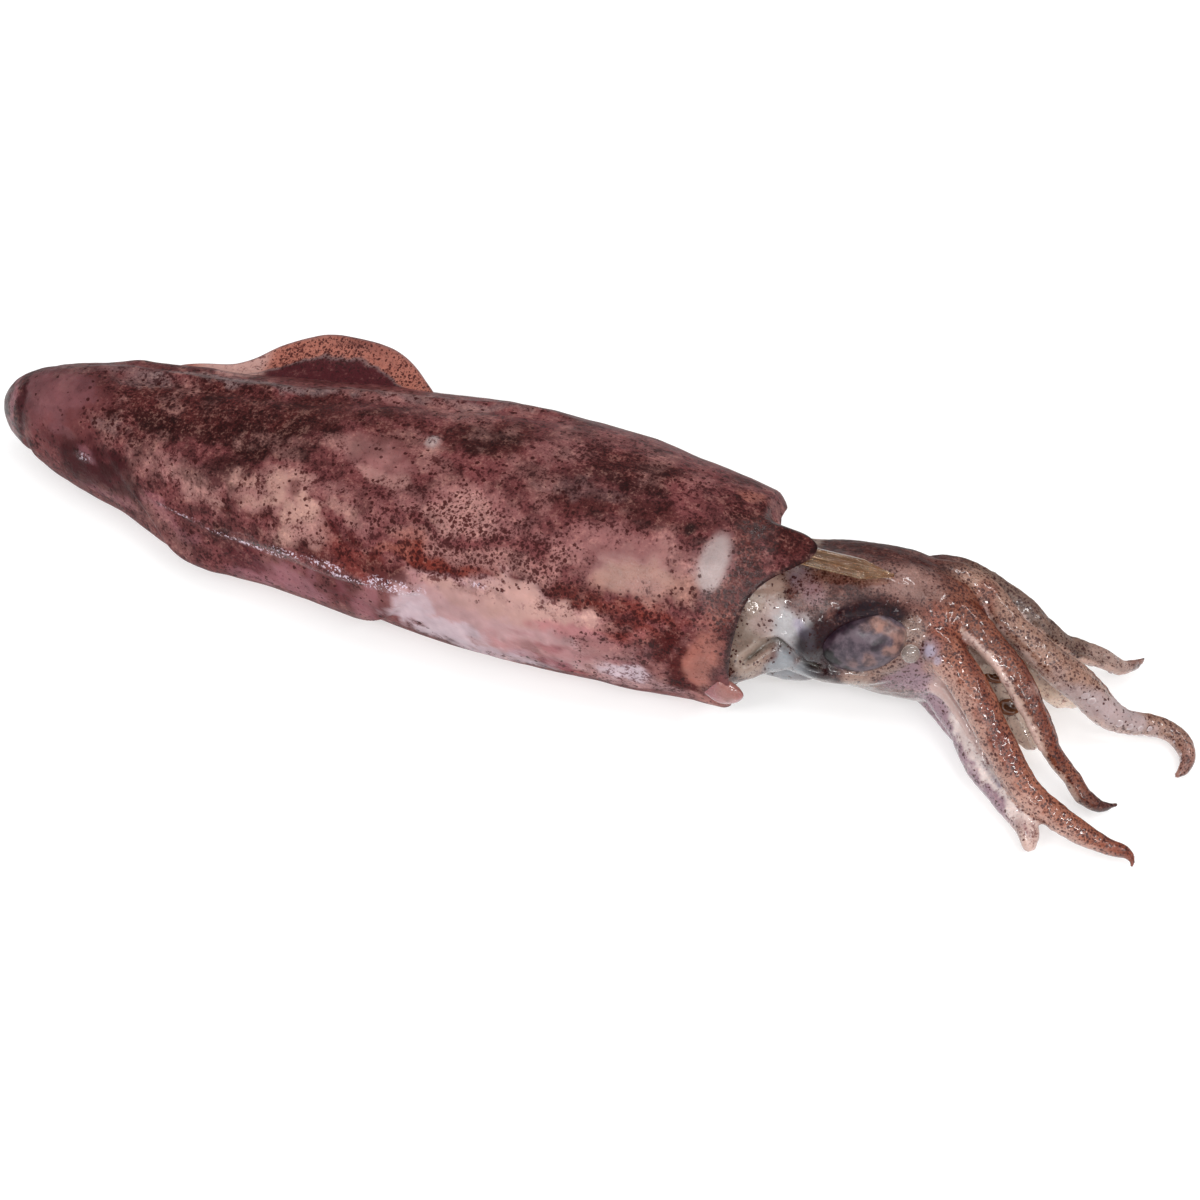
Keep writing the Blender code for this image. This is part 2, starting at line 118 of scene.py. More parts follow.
# Head: centre line points with half width across the eyes and half depth from crown to throat
HEAD_ROLL = 33.0
HEAD_BACK_CAP = 4.0
HEAD_FRONT_CAP = 6.0
HEAD_STATIONS = (
    (201.0, 3.0, 21.0, 11.0, 10.0),
    (207.0, 3.4, 20.8, 15.5, 15.0),
    (216.0, 4.8, 19.2, 17.2, 16.2),
    (228.0, 7.6, 18.7, 18.6, 17.4),
    (240.0, 9.4, 18.4, 20.0, 18.0),
    (252.0, 9.8, 17.8, 18.0, 17.2),
    (262.0, 9.6, 17.0, 14.5, 14.5),
    (269.0, 9.2, 16.0, 8.0, 9.0),
)

# Arms and tentacles: points of the centre line with the half thickness there
ARMS = {
    "upper_far": (
        (246, 22, 22, 5.5), (256, 24, 25, 4.6), (266, 23.5, 24, 3.6), (276, 21, 21, 3.1),
        (281, 20, 18, 2.8), (286, 21, 14, 2.7), (290, 23, 11, 2.8), (295, 25, 8.5, 2.7),
        (299, 26, 6, 2.2), (303, 31, 3.5, 1.2), (304.5, 34, 2.8, 0.5),
    ),
    "upper_middle": (
        (246, 16, 27, 6.0), (260, 20, 27, 4.6), (267, 17, 26.5, 3.9), (273, 12, 25.5, 3.8),
        (279, 10, 23.5, 3.9), (285, 9, 20, 4.2), (290, 9, 17, 4.4), (295, 9, 13, 4.3), (300, 8, 9.5, 3.9),
        (305, 9, 7, 3.1), (310, 11.5, 5, 2.8), (315, 12.5, 4, 2.5), (319, 10.5, 3.6, 2.4),
        (321.3, 6.4, 3.2, 2.0), (321, 3, 2.6, 1.4), (319.5, 0.6, 2, 0.5),
    ),
    "middle": (
        (246, 12, 26, 7.0), (257, 11, 28, 5.0), (264, 7, 28, 4.2), (271, 3, 26.5, 3.7),
        (276.5, -0.5, 25, 3.4), (280.5, -4, 23, 3.3), (284.5, -7, 20, 3.1), (287.5, -9, 17, 2.8),
        (290, -11, 14, 2.5), (293, -12, 11, 2.3), (297, -13, 7.5, 2.2), (301, -15, 4.5, 2.0),
        (304.5, -15, 3, 1.5), (309, -12, 2, 0.5),
    ),
    "long_near": (
        (244, 6, 22, 8.0), (255, 2, 26, 6.0), (261, -3, 26, 5.0), (267, -7, 24.5, 4.7),
        (272, -11, 21.5, 4.4), (276, -14.5, 18.5, 4.2), (280.5, -18, 15.5, 4.0), (285, -21.5, 12.5, 3.9),
        (290, -24, 10, 3.6), (295, -25, 8, 3.3), (300, -26, 6.5, 2.9), (305, -26.5, 5, 2.5),
        (310, -26.5, 4, 2.0), (314, -26, 3.2, 1.5), (316, -27, 2.4, 1.0), (316, -29, 1.8, 0.4),
    ),
    "short_near": (
        (243, 6, 14, 8.0), (253, 2.8, 15, 5.6), (259, -1.0, 13, 4.8), (264.5, -4.8, 10.6, 4.5),
        (269, -9, 9, 4.2), (273, -14, 7.5, 4.1), (277.5, -18, 6.5, 4.0), (282, -21.5, 6, 3.8),
        (286.5, -25, 5.5, 3.5), (289.6, -28, 5, 3.0), (291.4, -30.8, 4.4, 2.5), (292, -33, 3.8, 1.7),
    ),
    "hidden_far": (
        (248, 17, 13, 7.0), (260, 19, 9, 5.0), (272, 20, 6, 4.0), (283, 20, 4, 3.0), (290, 19, 3, 1.6),
        (292.5, 18, 2.4, 0.6),
    ),
    "hidden_middle": (
        (248, 8, 11, 7.0), (260, 5, 8, 5.2), (270, 0, 5.5, 4.4), (277, -5, 4, 3.2), (281, -9, 3, 1.8),
        (282.5, -11, 2.4, 0.6),
    ),
    "hidden_near": (
        (246, 6, 9, 7.0), (257, 1.5, 7, 4.6), (266, -4.5, 5, 3.8), (274, -11, 3.8, 2.8),
        (280, -16, 2.8, 1.6), (282, -18.5, 2, 0.6),
    ),
    "tentacle_near": (
        (246, 12, 16, 7.0), (258, 12, 16, 5.6), (266, 9, 14.5, 5.2), (273, 4.5, 12.5, 5.0),
        (279, -0.5, 10.5, 4.8), (283, -4.5, 9, 4.2), (285, -6.5, 8.4, 2.4),
    ),
    "tentacle_far": (
        (248, 16, 18, 7.0), (260, 17, 17, 5.4), (270, 15, 15, 5.0), (278, 12.5, 12.5, 4.8),
        (285, 11, 10.5, 4.4), (289.5, 10, 9, 3.8), (291.5, 9.6, 8.4, 2.0),
    ),
}

# Funnel: points of the centre line with the half thickness there
FUNNEL = (
    (204, -2, 13, 4.6), (211, -4.6, 11.4, 5.4), (219, -5.4, 10.8, 5.4), (226, -4.4, 10.4, 4.8),
    (232, -2.5, 10, 3.0),
)

# Eyes: half sizes, turn in the socket, distance from the tail tip, roll to the side and depth in the head
EYE_SIZE = (11.2, 7.3, 5.6)
EYE_TILT = 30.0
EYE_STATION = 240.6
EYE_ROLL = 27.0
EYE_SINK = 3.4

# Curled lobe at the near lower corner of the rim
FLAP_PLACE = (212.2, -26.3, 18.8)
FLAP_SIZE = (5.4, 2.0, 4.4)
FLAP_TILT = 10.0

# Pen: the ends of its middle line and its blade
PEN_BACK = (209.0, 0.4, 43.4)
PEN_FRONT = (243.5, 6.6, 38.6)
PEN_HALF_WIDTH = 3.1
PEN_THICKNESS = 0.9
PEN_POINT = 8.0

# Fineness of the meshes: vertices round and along, or rows along a path
MANTLE_ROUND = 300
MANTLE_LONG = 284
FAR_FIN_GRID = (220, 60)
HEAD_GRID = (96, 80)
EYE_GRID = (96, 64)
FLAP_GRID = (48, 32)
BEAD_GRID = (32, 24)
SUCKER_GRID = (20, 12)
HEAD_VOXEL = 0.6
LIMB_SIDES = 24
LIMB_STEPS = 160
NEAREST_STEPS = 70
SUCKER_STEPS = 200
BLOCK_ROWS = 20000

# Shares of the mantle's mesh where the outside, the rolled lip and the pocket's wall end
OUTSIDE_END = 0.88
LIP_END = 0.92
WALL_END = 0.97
OUTSIDE_SPACING = 1.2

# Folds and webs of skin: places along each with the half thickness there
FOLDS = {
    "neck_fold": (
        (223.5, -4.5, 30.0, 1.6), (226.0, -6.6, 28.4, 2.2), (227.8, -8.2, 25.6, 2.5),
        (229.0, -9.2, 22.6, 2.2), (229.5, -9.4, 19.5, 1.2),
    ),
    "middle_web": (
        (264.0, 3.2, 28.6, 1.6), (271.5, -0.4, 26.8, 1.5), (277.6, -4.9, 24.0, 1.4),
        (283.2, -9.0, 20.2, 1.3), (288.4, -12.6, 14.4, 0.9),
    ),
    "upper_web": (
        (262.0, 20.5, 25.6, 2.0), (268.0, 20.5, 24.0, 1.9), (274.0, 18.5, 22.0, 1.6),
        (279.0, 17.0, 19.0, 1.0),
    ),
    "collar": (
        (205.0, -15.0, 17.0, 5.0), (210.0, -16.0, 17.0, 5.6), (213.5, -15.0, 17.5, 5.0),
        (218.0, -11.5, 18.0, 4.6), (222.0, -9.5, 17.5, 4.0),
    ),
    "throat": (
        (222.0, -8.5, 17.0, 3.6), (228.0, -8.5, 16.2, 3.8), (234.0, -8.4, 16.4, 3.8),
        (240.0, -8.0, 17.2, 3.4), (245.0, -7.6, 18.4, 2.8), (249.0, -7.0, 19.0, 1.8),
    ),
    "near_web": (
        (256.0, -4.0, 18.0, 3.0), (262.0, -5.6, 17.0, 2.4), (267.0, -9.0, 15.0, 1.8),
        (272.0, -13.0, 12.6, 1.4), (277.0, -17.4, 10.4, 1.0),
    ),
}
WEBS = ("middle_web", "upper_web", "near_web")
LIMB_PATHS = {**ARMS, **{name: FOLDS[name] for name in WEBS}}

# Creases of the head
FUNNEL_CREASE = (
    (214.6, -17.6, 20.6), (215.7, -16.5, 21.7), (217.7, -12.8, 22.9), (220.6, -11.3, 23.8),
    (222.6, -10.8, 22.6), (224.8, -10.2, 20.9), (227.2, -10.1, 18.6), (232.9, -12.1, 19.2),
)
NECK_FOLD = ((213.0, -6.0, 34.0), (217.0, -4.0, 35.0), (221.0, -2.0, 35.6))

# Bead of water
BEAD_PLACE = (252.7, -7.3, 28.9)
BEAD_FACING = (0.2, -0.8, 0.6)
BEAD_SIZE = (2.3, 2.3, 1.9)

# Light: what the lamps add to a paint, then the sky and each lamp's name, place, length, width and power
LAMP_GAIN = 1.16
FILM_VEIL = 0.015
HEAD_GAIN = 0.84
WORLD_LIGHT = 0.42
SKY_TURN = (28.0, 12.0)
SKY_SPREAD = 100.0
SKY_POWER = 1.15
FLOOR_GLOW = 0.45
LAMPS = (
    ("left_soft", (-0.22, -0.58, 0.70), 0.30, 0.03, 1.6),
    ("right_soft", (0.46, -0.34, 0.70), 0.25, 0.03, 1.2),
    ("back_soft", (0.08, 0.52, 0.85), 0.40, 0.04, 1.2),
    ("top_soft", (0.22, -0.10, 0.95), 0.20, 0.03, 0.8),
    ("front_soft", (0.20, -0.80, 0.45), 0.25, 0.03, 0.8),
    ("far_soft", (0.55, 0.10, 0.60), 0.20, 0.03, 0.6),
    ("near_fill", (0.16, -0.42, 0.53), 0.25, 0.25, 0.4),
)

# Colours as they show in daylight
PAINTS = {
    "maroon": (112, 66, 67),
    "bruise": (58, 20, 22),
    "brown": (76, 42, 41),
    "dry_brown": (82, 40, 34),
    "blackish": (48, 24, 26),
    # Grey-tan skin colour, also used as a painted grey sheen along the fin-fold ridge of the back
    "ash_and_sheen": (120, 98, 98),
    "rose": (146, 100, 99),
    "tail_mauve": (119, 79, 83),
    "pink": (168, 124, 119),
    "cream": (178, 138, 128),
    "purple": (68, 30, 40),
    "mauve": (148, 98, 106),
    "milk": (184, 146, 147),
    "patch_cream": (163, 122, 111),
    "belly_cream": (186, 146, 138),
    "pinkish": (170, 112, 114),
    "lilac": (196, 176, 184),
    "wine": (138, 72, 80),
    # Dark wine skin, also used as painted shade in the far fin's valley
    "dark_wine_and_shade": (78, 38, 42),
    "rust": (114, 52, 44),
    "blood": (76, 24, 22),
    "white": (172, 154, 152),
    "coral": (154, 98, 88),
    "fin_coral": (168, 106, 92),
    "lobe": (150, 100, 94),
    "dot_brown": (66, 24, 22),
    "fleck": (160, 122, 112),
    # Painted highlight: the white-lilac glints laid on the ridge of the near flank
    "painted_highlight": (225, 205, 220),
    "head_brown": (118, 80, 74),
    "head_dark": (78, 44, 42),
    "head_pale": (150, 114, 106),
    "lid_black": (46, 34, 42),
    "lid_pale": (164, 134, 122),
    "neck_cream": (188, 165, 151),
    "neck_white": (192, 188, 190),
    "funnel_blue": (154, 157, 162),
    # Painted shade for the dark lines in the grooves of the funnel and the neck
    "crease": (70, 62, 52),
    "violet": (146, 132, 152),
    "web_pale": (208, 178, 172),
    "sucker_skin": (192, 170, 170),
    "lilac_skin": (164, 132, 145),
    "arm_brown": (130, 104, 93),
    "arm_tan": (196, 164, 150),
    # Pale flesh of the arms' undersides, painted brighter than itself as painted light in their shade
    "arm_under_with_painted_light": (232, 192, 176),
    "arm_dark": (140, 84, 66),
    "arm_rose": (192, 148, 134),
    "arm_skin": (210, 178, 168),
    "arm_orange": (166, 104, 83),
    "arm_rust": (140, 74, 58),
    "limb_red": (108, 46, 36),
    # The next two: pale and cream flesh, painted brighter than themselves (the cream past full white) as
    # painted light in the shaded gaps between the arms
    "arm_pale_with_painted_light": (238, 220, 216),
    "arm_cream_with_painted_light": (262, 236, 218),
    "arm_grey": (166, 128, 112),
    "arm_tip": (150, 108, 98),
    "sucker_white": (190, 172, 172),
    "sucker_grey": (172, 150, 150),
    "sucker_ring": (142, 90, 62),
    "sucker_brown": (98, 58, 38),
    "eye_grey": (104, 90, 98),
    "eye_dark": (56, 44, 52),
    "eye_copper": (156, 116, 104),
    "pit_black": (38, 26, 24),
    # Pale lilac skin and a painted sheen on the ridge of the neck fold
    "pale_lilac_and_sheen": (196, 186, 206),
    "amber": (205, 160, 120),
    "amber_pale": (234, 202, 166),
}

# What the tone is multiplied by in dark and pale grain, under pigment spots and in the eye's mist
DARK_GRAIN = (0.32, 0.20, 0.21, 1.0)
PALE_GRAIN = (1.5, 1.55, 1.5, 1.0)
UNDER_SPOT = (0.20, 0.08, 0.08, 1.0)
EYE_MIST = (0.35, 0.35, 0.40, 1.0)

# Sideways wobble of the pigment spots, in metres
SPOT_WOBBLE = (0.0007, 0.0007, 0.0007)

# Levels of the marks where no patch or blob changes them
MANTLE_BASE = {"dots": 0.22, "grain": 0.75, "mottle": 0.5, "painted_glints": 0.0, "wet": 0.15}
HEAD_BASE = {"dots": 0.7, "grain": 0.55}

# Marks of the mantle's skin: distance from the tail tip, angle, half length, half angle, level there
MANTLE_DOTS = (
    (62, 4, 34, 26, 0.35), (45, 30, 16, 14, 0.5), (148, 38, 28, 15, 1.0), (172, 52, 12, 12, 0.95),
    (188, 60, 14, 8, 0.8), (209, 36, 8, 34, 1.0), (215, 0, 12, 18, 0.95), (178, -9, 15, 13, 0.65),
    (117, 56, 9, 7, 0.6), (136, 55, 15, 5, 0.6), (112, 14, 14, 9, 0.1), (185, 38, 13, 13, 0.05),
    (203.3, 26, 4.5, 15, 0.0), (150, 84, 32, 22, 0.03), (171, 62, 11, 9, 0.03), (190, 95, 10, 10, 0.0),
    (207.5, 74, 5, 18, 0.05), (92, 48, 22, 12, 0.15), (194, 76, 6, 12, 0.6), (20, 30, 14, 40, 0.1),
)
MANTLE_GRAIN = (
    (62, 4, 36, 28, 1.0), (45, 30, 16, 16, 1.0), (178, -9, 20, 15, 0.95), (212, 0, 14, 30, 0.9),
    (20, 30, 16, 60, 0.3), (104, 90, 26, 14, 0.3), (75, 86, 16, 10, 0.7), (150, 84, 34, 24, 0.12),
    (185, 38, 13, 13, 0.2), (203.3, 26, 4.6, 15, 0.03), (161, 57, 8, 6, 0.1), (114, 14, 12, 8, 0.3),
    (38, 74, 15, 20, 0.2), (92, 48, 12, 9, 0.4), (207.5, 74, 5, 18, 0.4),
)
# Painted glints: white-lilac highlight flecks along the ridge of the near flank and on a few wet spots
MANTLE_PAINTED_GLINTS = (
    (67, 75, 7, 1.5, 0.7), (80, 77, 9, 1.5, 0.9), (92, 77, 7, 1.5, 0.9), (101, 73, 8, 1.8, 0.9),
    (110, 72, 6, 2.4, 0.9), (120, 76, 9, 1.8, 0.8), (130, 73, 8, 3.4, 1.0), (33, 67, 2.6, 4, 0.7),
    (150, 62, 3, 1.4, 0.6),
)
MANTLE_MOTTLE = (
    (62, 4, 34, 26, 0.6), (90, 50, 36, 20, 0.8), (118, 62, 20, 10, 0.8), (150, 84, 32, 24, 0.12),
    (20, 30, 16, 40, 0.2), (186, 40, 14, 14, 0.15), (203.3, 26, 4.6, 15, 0.0), (169, 62, 13, 11, 0.03),
    (38, 74, 14, 20, 0.15), (104, 92, 26, 14, 0.15), (114, 12, 14, 10, 0.3), (190, 95, 10, 10, 0.1),
    (172, 92, 16, 6, 0.4), (103, 56, 5, 12, 0.05), (207, 78, 5, 15, 0.1), (141, 63, 6, 6, 0.05),
    (150, 42, 24, 10, 0.4),
)
MANTLE_WET = (
    (5, 60, 7, 60, 0.6), (100, 75, 42, 4, 0.9), (33, 67, 4, 5, 0.9), (186, 40, 12, 12, 0.7),
    (203, 27, 5, 15, 0.7), (211, 50, 8, 60, 0.75), (165, 82, 34, 22, 0.5), (126, 0, 2, 3, 0.8),
)

# Blobs of the head: paint, spots, grain, then place, half size and strength of each
HEAD_BLOBS = (
    ("head_dark", 0.7, 0.8, (
        (224, 14, 33, 9, 0.9), (232, 16, 34, 9, 0.85), (241, 18, 34, 9, 0.65), (250, 20, 32, 9, 0.35),
        (236, 24, 28, 12, 0.7), (250, 27, 24, 10, 0.5),
    )),
    ("head_pale", 0.15, 0.5, (
        (239, 5, 37, 6, 0.75), (246, 7, 36.5, 6, 0.9), (252, 8, 35.5, 6, 0.8), (229, 4, 36.5, 3, 0.4),
    )),
    ("head_dark", 0.95, 0.7, (
        (236.5, 0.7, 35.8, 4, 0.75), (242.6, 0.1, 35, 3.6, 0.85), (247.5, -0.6, 33.7, 3.4, 0.8),
        (231, 0.3, 35.4, 4, 0.35),
    )),
    ("arm_rust", 1.0, 0.6, ((254.7, 3.3, 33.5, 3.6, 0.7), (258.5, 1.0, 32.5, 4, 0.7))),
    ("lid_black", 0.4, 0.5, (
        (229.7, -6.1, 31.1, 2.6, 0.55), (234.8, -4.6, 32.6, 3.2, 0.8), (240.4, -2.6, 33.9, 3.2, 0.95),
        (245.9, -1.3, 33.8, 3.0, 0.95), (250.3, -2.2, 31.8, 2.4, 0.7), (232.3, -8.2, 27.5, 2.6, 0.5),
    )),
    ("neck_cream", 0.2, 0.15, (
        (213.1, -12.3, 20.5, 8, 0.95), (216.1, -7.1, 31.5, 6, 0.95), (216.2, -10.9, 26.2, 6, 0.95),
        (212, 0, 34, 8, 0.95), (211.6, -9.8, 8.7, 6, 0.9), (214, 12, 33, 8, 0.9), (214, 18, 20, 14, 0.9),
        (212, 4, 6, 12, 0.9), (241.1, -9.5, 15.5, 4.6, 0.8), (233.3, -9.0, 12.2, 5, 0.7),
    )),
    ("neck_white", 0.1, 0.1, (
        (220.6, -8.5, 29.2, 5, 0.95), (222.5, -9.8, 25.5, 4.5, 0.9), (226.1, -7.8, 29.3, 2.6, 0.6),
        (227.5, -9.4, 26.3, 2.8, 0.7), (229.2, -10.3, 22.7, 2.8, 0.7),
    )),
    ("arm_tan", 0.1, 0.1, ((213.5, -2.5, 35.0, 3.6, 0.8), (216.5, -3.5, 34.6, 3.0, 0.7))),
    ("violet", 0.3, 0.1, (
        (222.7, 0.2, 35.2, 3.2, 0.4), (220.0, 1.2, 35.4, 2.6, 0.3), (256.6, -4.9, 28.9, 3.0, 0.45),
        (254.6, -5.6, 30.0, 2.0, 0.4), (228.2, -8.8, 28.2, 1.2, 0.5),
    )),
    ("funnel_blue", 0.05, 0.05, (
        (220.8, -11.3, 17.0, 4.4, 0.95), (226.4, -10.4, 15.6, 4.2, 0.95), (219, -11, 10.5, 6, 0.8),
        (228, -9, 9, 6, 0.7), (223.2, -12.6, 20.0, 3.6, 0.95), (221.0, -14.8, 18.0, 2.6, 0.8),
        (228.6, -12.3, 17.0, 3.2, 0.9),
    )),
    # Pale lilac skin and a painted sheen along the raised neck fold and beside the eye
    ("pale_lilac_and_sheen", 0.1, 0.05, (
        (224.8, -8.3, 29.2, 1.6, 0.7), (226.5, -9.6, 27.8, 1.8, 0.8), (229.4, -11.4, 25.7, 1.5, 0.6),
        (256.9, -5.2, 29.0, 1.5, 0.8), (259.2, -6.9, 28.7, 1.2, 0.7),
    )),
    ("web_pale", 0.2, 0.05, ((216.5, -10.1, 27.3, 3.4, 0.7), (217.5, -7.5, 31.0, 3.0, 0.5))),
    ("head_pale", 1.0, 0.6, ((226.0, -1.4, 34.8, 4.5, 0.5), (217.0, -9.6, 28.0, 2.0, 0.3))),
    ("pit_black", 0.1, 0.1, ((232.6, -9.6, 25.6, 1.8, 0.8), (231.8, -8.6, 27.0, 1.4, 0.5))),
    ("lid_pale", 0.2, 0.2, ((251.0, -6.2, 28.6, 2.0, 0.7),)),
    ("funnel_blue", 0.05, 0.05, ((226.9, -11.2, 21.4, 2.6, 0.85),)),
    ("arm_rust", 1.0, 0.6, ((264.0, 17.1, 30.5, 3.4, 0.6), (265.5, 12.9, 28.2, 3.0, 0.5))),
    ("lilac_skin", 0.6, 0.2, (
        (253.0, -7.1, 22.7, 4.4, 0.8), (256.8, -6.8, 18.6, 4.6, 0.9), (261, -7.2, 12.4, 5, 0.9),
        (249.5, -8.6, 18.0, 3.4, 0.6),
    )),
    ("web_pale", 0.02, 0.05, (
        (261.0, -7.0, 19.0, 3.6, 0.95), (264.6, -9.6, 16.6, 3.2, 0.9), (268.4, -13.0, 14.0, 2.6, 0.7),
    )),
    ("sucker_skin", 0.15, 0.2, (
        (286.4, 5.2, 21.0, 3.0, 0.3), (291.0, 5.2, 17.0, 4.0, 0.75), (297.0, 5.6, 14.0, 4.6, 0.9),
        (301.0, 7.4, 11.4, 4.4, 0.9), (307.0, 8.4, 8.4, 4.0, 0.9), (312.0, 9.4, 6.2, 2.6, 0.5),
    )),
    ("arm_skin", 0.1, 0.1, (
        (283.0, -4.4, 25.5, 1.8, 0.5), (299.3, 24.9, 8.1, 4.5, 0.5), (294.0, 23.3, 11.7, 4.0, 0.35),
    )),
    ("arm_rust", 1.0, 0.6, (
        (278.7, -18.0, 20.5, 3.2, 0.9), (283.5, -20.8, 17.2, 3.0, 0.6), (273.5, -14.5, 24.0, 2.4, 0.6),
    )),
    ("lilac_skin", 0.45, 0.2, ((226.5, -2.6, 34.6, 3.2, 0.35),)),
)

# Painted lines of the head: paint, half width, strength and path. The crease lines are painted shade in the
# grooves of the funnel and the neck
HEAD_SEAMS = (
    ("crease", 0.7, 0.9, FUNNEL_CREASE),
    ("crease", 0.5, 0.8, NECK_FOLD),
    ("crease", 0.6, 0.6, ((216.4, -11.8, 20.5), (214.6, -11.8, 14.0), (214.8, -11.0, 9.0))),
    ("limb_red", 1.7, 0.65, (
        (263.0, 1.3, 28.8), (267.4, -5.7, 29.4), (272.9, -11.7, 25.7), (278.0, -17.3, 21.2),
        (283.0, -21.7, 17.4),
    )),
    ("limb_red", 1.5, 0.6, (
        (264.8, 13.0, 29.3), (270.6, 9.0, 28.6), (277.1, 3.8, 27.6), (282.1, -5.1, 25.9),
        (287.3, -9.7, 20.3), (293.5, -12.6, 13.4),
    )),
    ("violet", 0.45, 0.9, (
        (262.8, -6.6, 20.4), (266.5, -9.6, 17.4), (270.6, -13.8, 14.2), (276.4, -19.2, 10.6),
        (281.5, -23.0, 9.6),
    )),
    ("wine", 0.4, 0.8, (
        (273.4, -19.4, 9.6), (276.6, -21.6, 9.8), (280.2, -23.6, 9.7), (284.0, -26.2, 9.2),
        (288.5, -29.2, 8.0), (291.0, -31.6, 6.6),
    )),
)

# Arms: outer, inner and tip paint, the way the outer side faces, where it ends, spots outside and inside
# The paints with painted light lift the shaded undersides, inner sides and tentacles between the arms
LIMB_PAINTS = {
    "upper_far": ("arm_brown", "arm_under_with_painted_light", "arm_tip", (0.2, 0.5, 0.85), -0.1, 0.75, 0.1),
    "upper_middle": ("arm_grey", "arm_skin", "arm_tip", (0.6, 0.3, 0.6), -0.25, 0.75, 0.15),
    "middle": ("arm_dark", "arm_tan", "head_dark", (0.8, 0.3, 0.3), -0.32, 1.0, 0.15),
    "long_near": ("arm_orange", "arm_rose", "arm_rust", (0.55, 0.4, 0.7), 0.12, 1.0, 0.55),
    "short_near": ("lilac_skin", "arm_pale_with_painted_light", "arm_skin", (-0.7, -0.6, -0.1), 0.74, 0.35, 0.02),
    "hidden_far": ("arm_brown", "arm_pale_with_painted_light", "arm_tan", (0.0, 0.6, -0.6), 0.0, 0.5, 0.05),
    "hidden_middle": ("arm_cream_with_painted_light", "arm_cream_with_painted_light", "arm_cream_with_painted_light", (0.3, -0.3, 0.8), 0.0, 0.0, 0.0),
    "hidden_near": ("lilac_skin", "arm_pale_with_painted_light", "arm_pale_with_painted_light", (-0.5, -0.5, -0.5), 0.0, 0.4, 0.05),
    "tentacle_near": ("arm_cream_with_painted_light", "arm_cream_with_painted_light", "arm_cream_with_painted_light", (0.0, 0.0, 1.0), 0.0, 0.0, 0.0),
    "tentacle_far": ("arm_cream_with_painted_light", "arm_cream_with_painted_light", "arm_cream_with_painted_light", (0.0, 0.0, 1.0), 0.0, 0.0, 0.0),
    "middle_web": ("arm_skin", "arm_skin", "arm_skin", (0.0, 0.0, 1.0), 0.0, 0.0, 0.0),
    "upper_web": ("arm_skin", "arm_skin", "arm_skin", (0.0, 0.0, 1.0), 0.0, 0.05, 0.0),
    "near_web": ("web_pale", "web_pale", "web_pale", (0.0, 0.0, 1.0), 0.0, 0.05, 0.0),
}

# Rows of suckers: arm, first and last share of its length, how many, the side they face, half size
SUCKER_ROWS = (
    ("upper_middle", 0.46, 0.80, 22, (-0.15, -0.80, 0.15), 1.35),
    ("upper_middle", 0.80, 0.97, 14, (-0.6, -0.4, -0.1), 0.8),
    ("upper_far", 0.35, 0.9, 12, (-0.3, -0.4, -0.6), 1.1),
    ("middle", 0.3, 0.9, 14, (-0.3, 0.3, -0.8), 1.1),
    ("long_near", 0.25, 0.9, 16, (0.5, -0.1, -0.8), 1.4),
    ("tentacle_far", 0.55, 0.95, 6, (0.1, -0.3, 0.9), 0.5),
)

# Ringed suckers: place, the way they face, half sizes
RINGED_SUCKERS = (
    ((272.2, 2.8, 18.0), (0.1, -0.5, 0.85), (3.1, 2.2, 1.5)),
    ((277.8, -2.8, 14.4), (0.1, -0.5, 0.85), (3.0, 2.1, 1.5)),
)

# Blobs of the eye in its own frame: paint, then place, half size and strength of each
EYE_BLOBS = (
    ("eye_copper", (
        (5.7, 4.8, 3.1, 2.6, 0.9), (7.4, 3.4, 3.1, 2.2, 0.6), (9.7, -0.3, 2.8, 2.6, 0.8),
        (7.2, -2.8, 4.0, 2.2, 0.7), (1.6, -3.6, 5.0, 2.2, 0.5), (-2.8, -3.4, 5.0, 1.8, 0.35),
        (2.6, 4.6, 4.4, 1.4, 0.4),
    )),
    ("eye_dark", (
        (6.2, 0.8, 4.6, 1.5, 0.8), (4.2, -0.4, 5.2, 1.4, 0.8), (5.2, 0.2, 5.0, 1.4, 0.7),
        (-1.3, 6.3, 2.7, 2.8, 0.9), (3.0, 6.9, 2.0, 2.2, 0.85), (7.6, 5.6, 0.8, 1.8, 0.8),
        (-5.1, 5.2, 2.8, 2.6, 0.9), (-7.0, 3.2, 3.4, 2.6, 0.8), (-8.6, 1.6, 3.2, 2.0, 0.8),
    )),
    # Pale lid colour on the eye's right rim, laid on as painted light to lift its shading
    ("lid_pale", ((10.6, -1.4, 1.0, 2.0, 0.9), (9.6, -3.4, 1.0, 1.8, 0.7))),
    ("pit_black", (
        (-8.0, -0.4, 3.8, 2.2, 0.95), (-6.6, -2.2, 4.2, 1.8, 0.9), (-5.0, -4.4, 3.6, 1.4, 0.8),
        (-9.6, -2.0, 2.2, 2.4, 0.8),
    )),
)

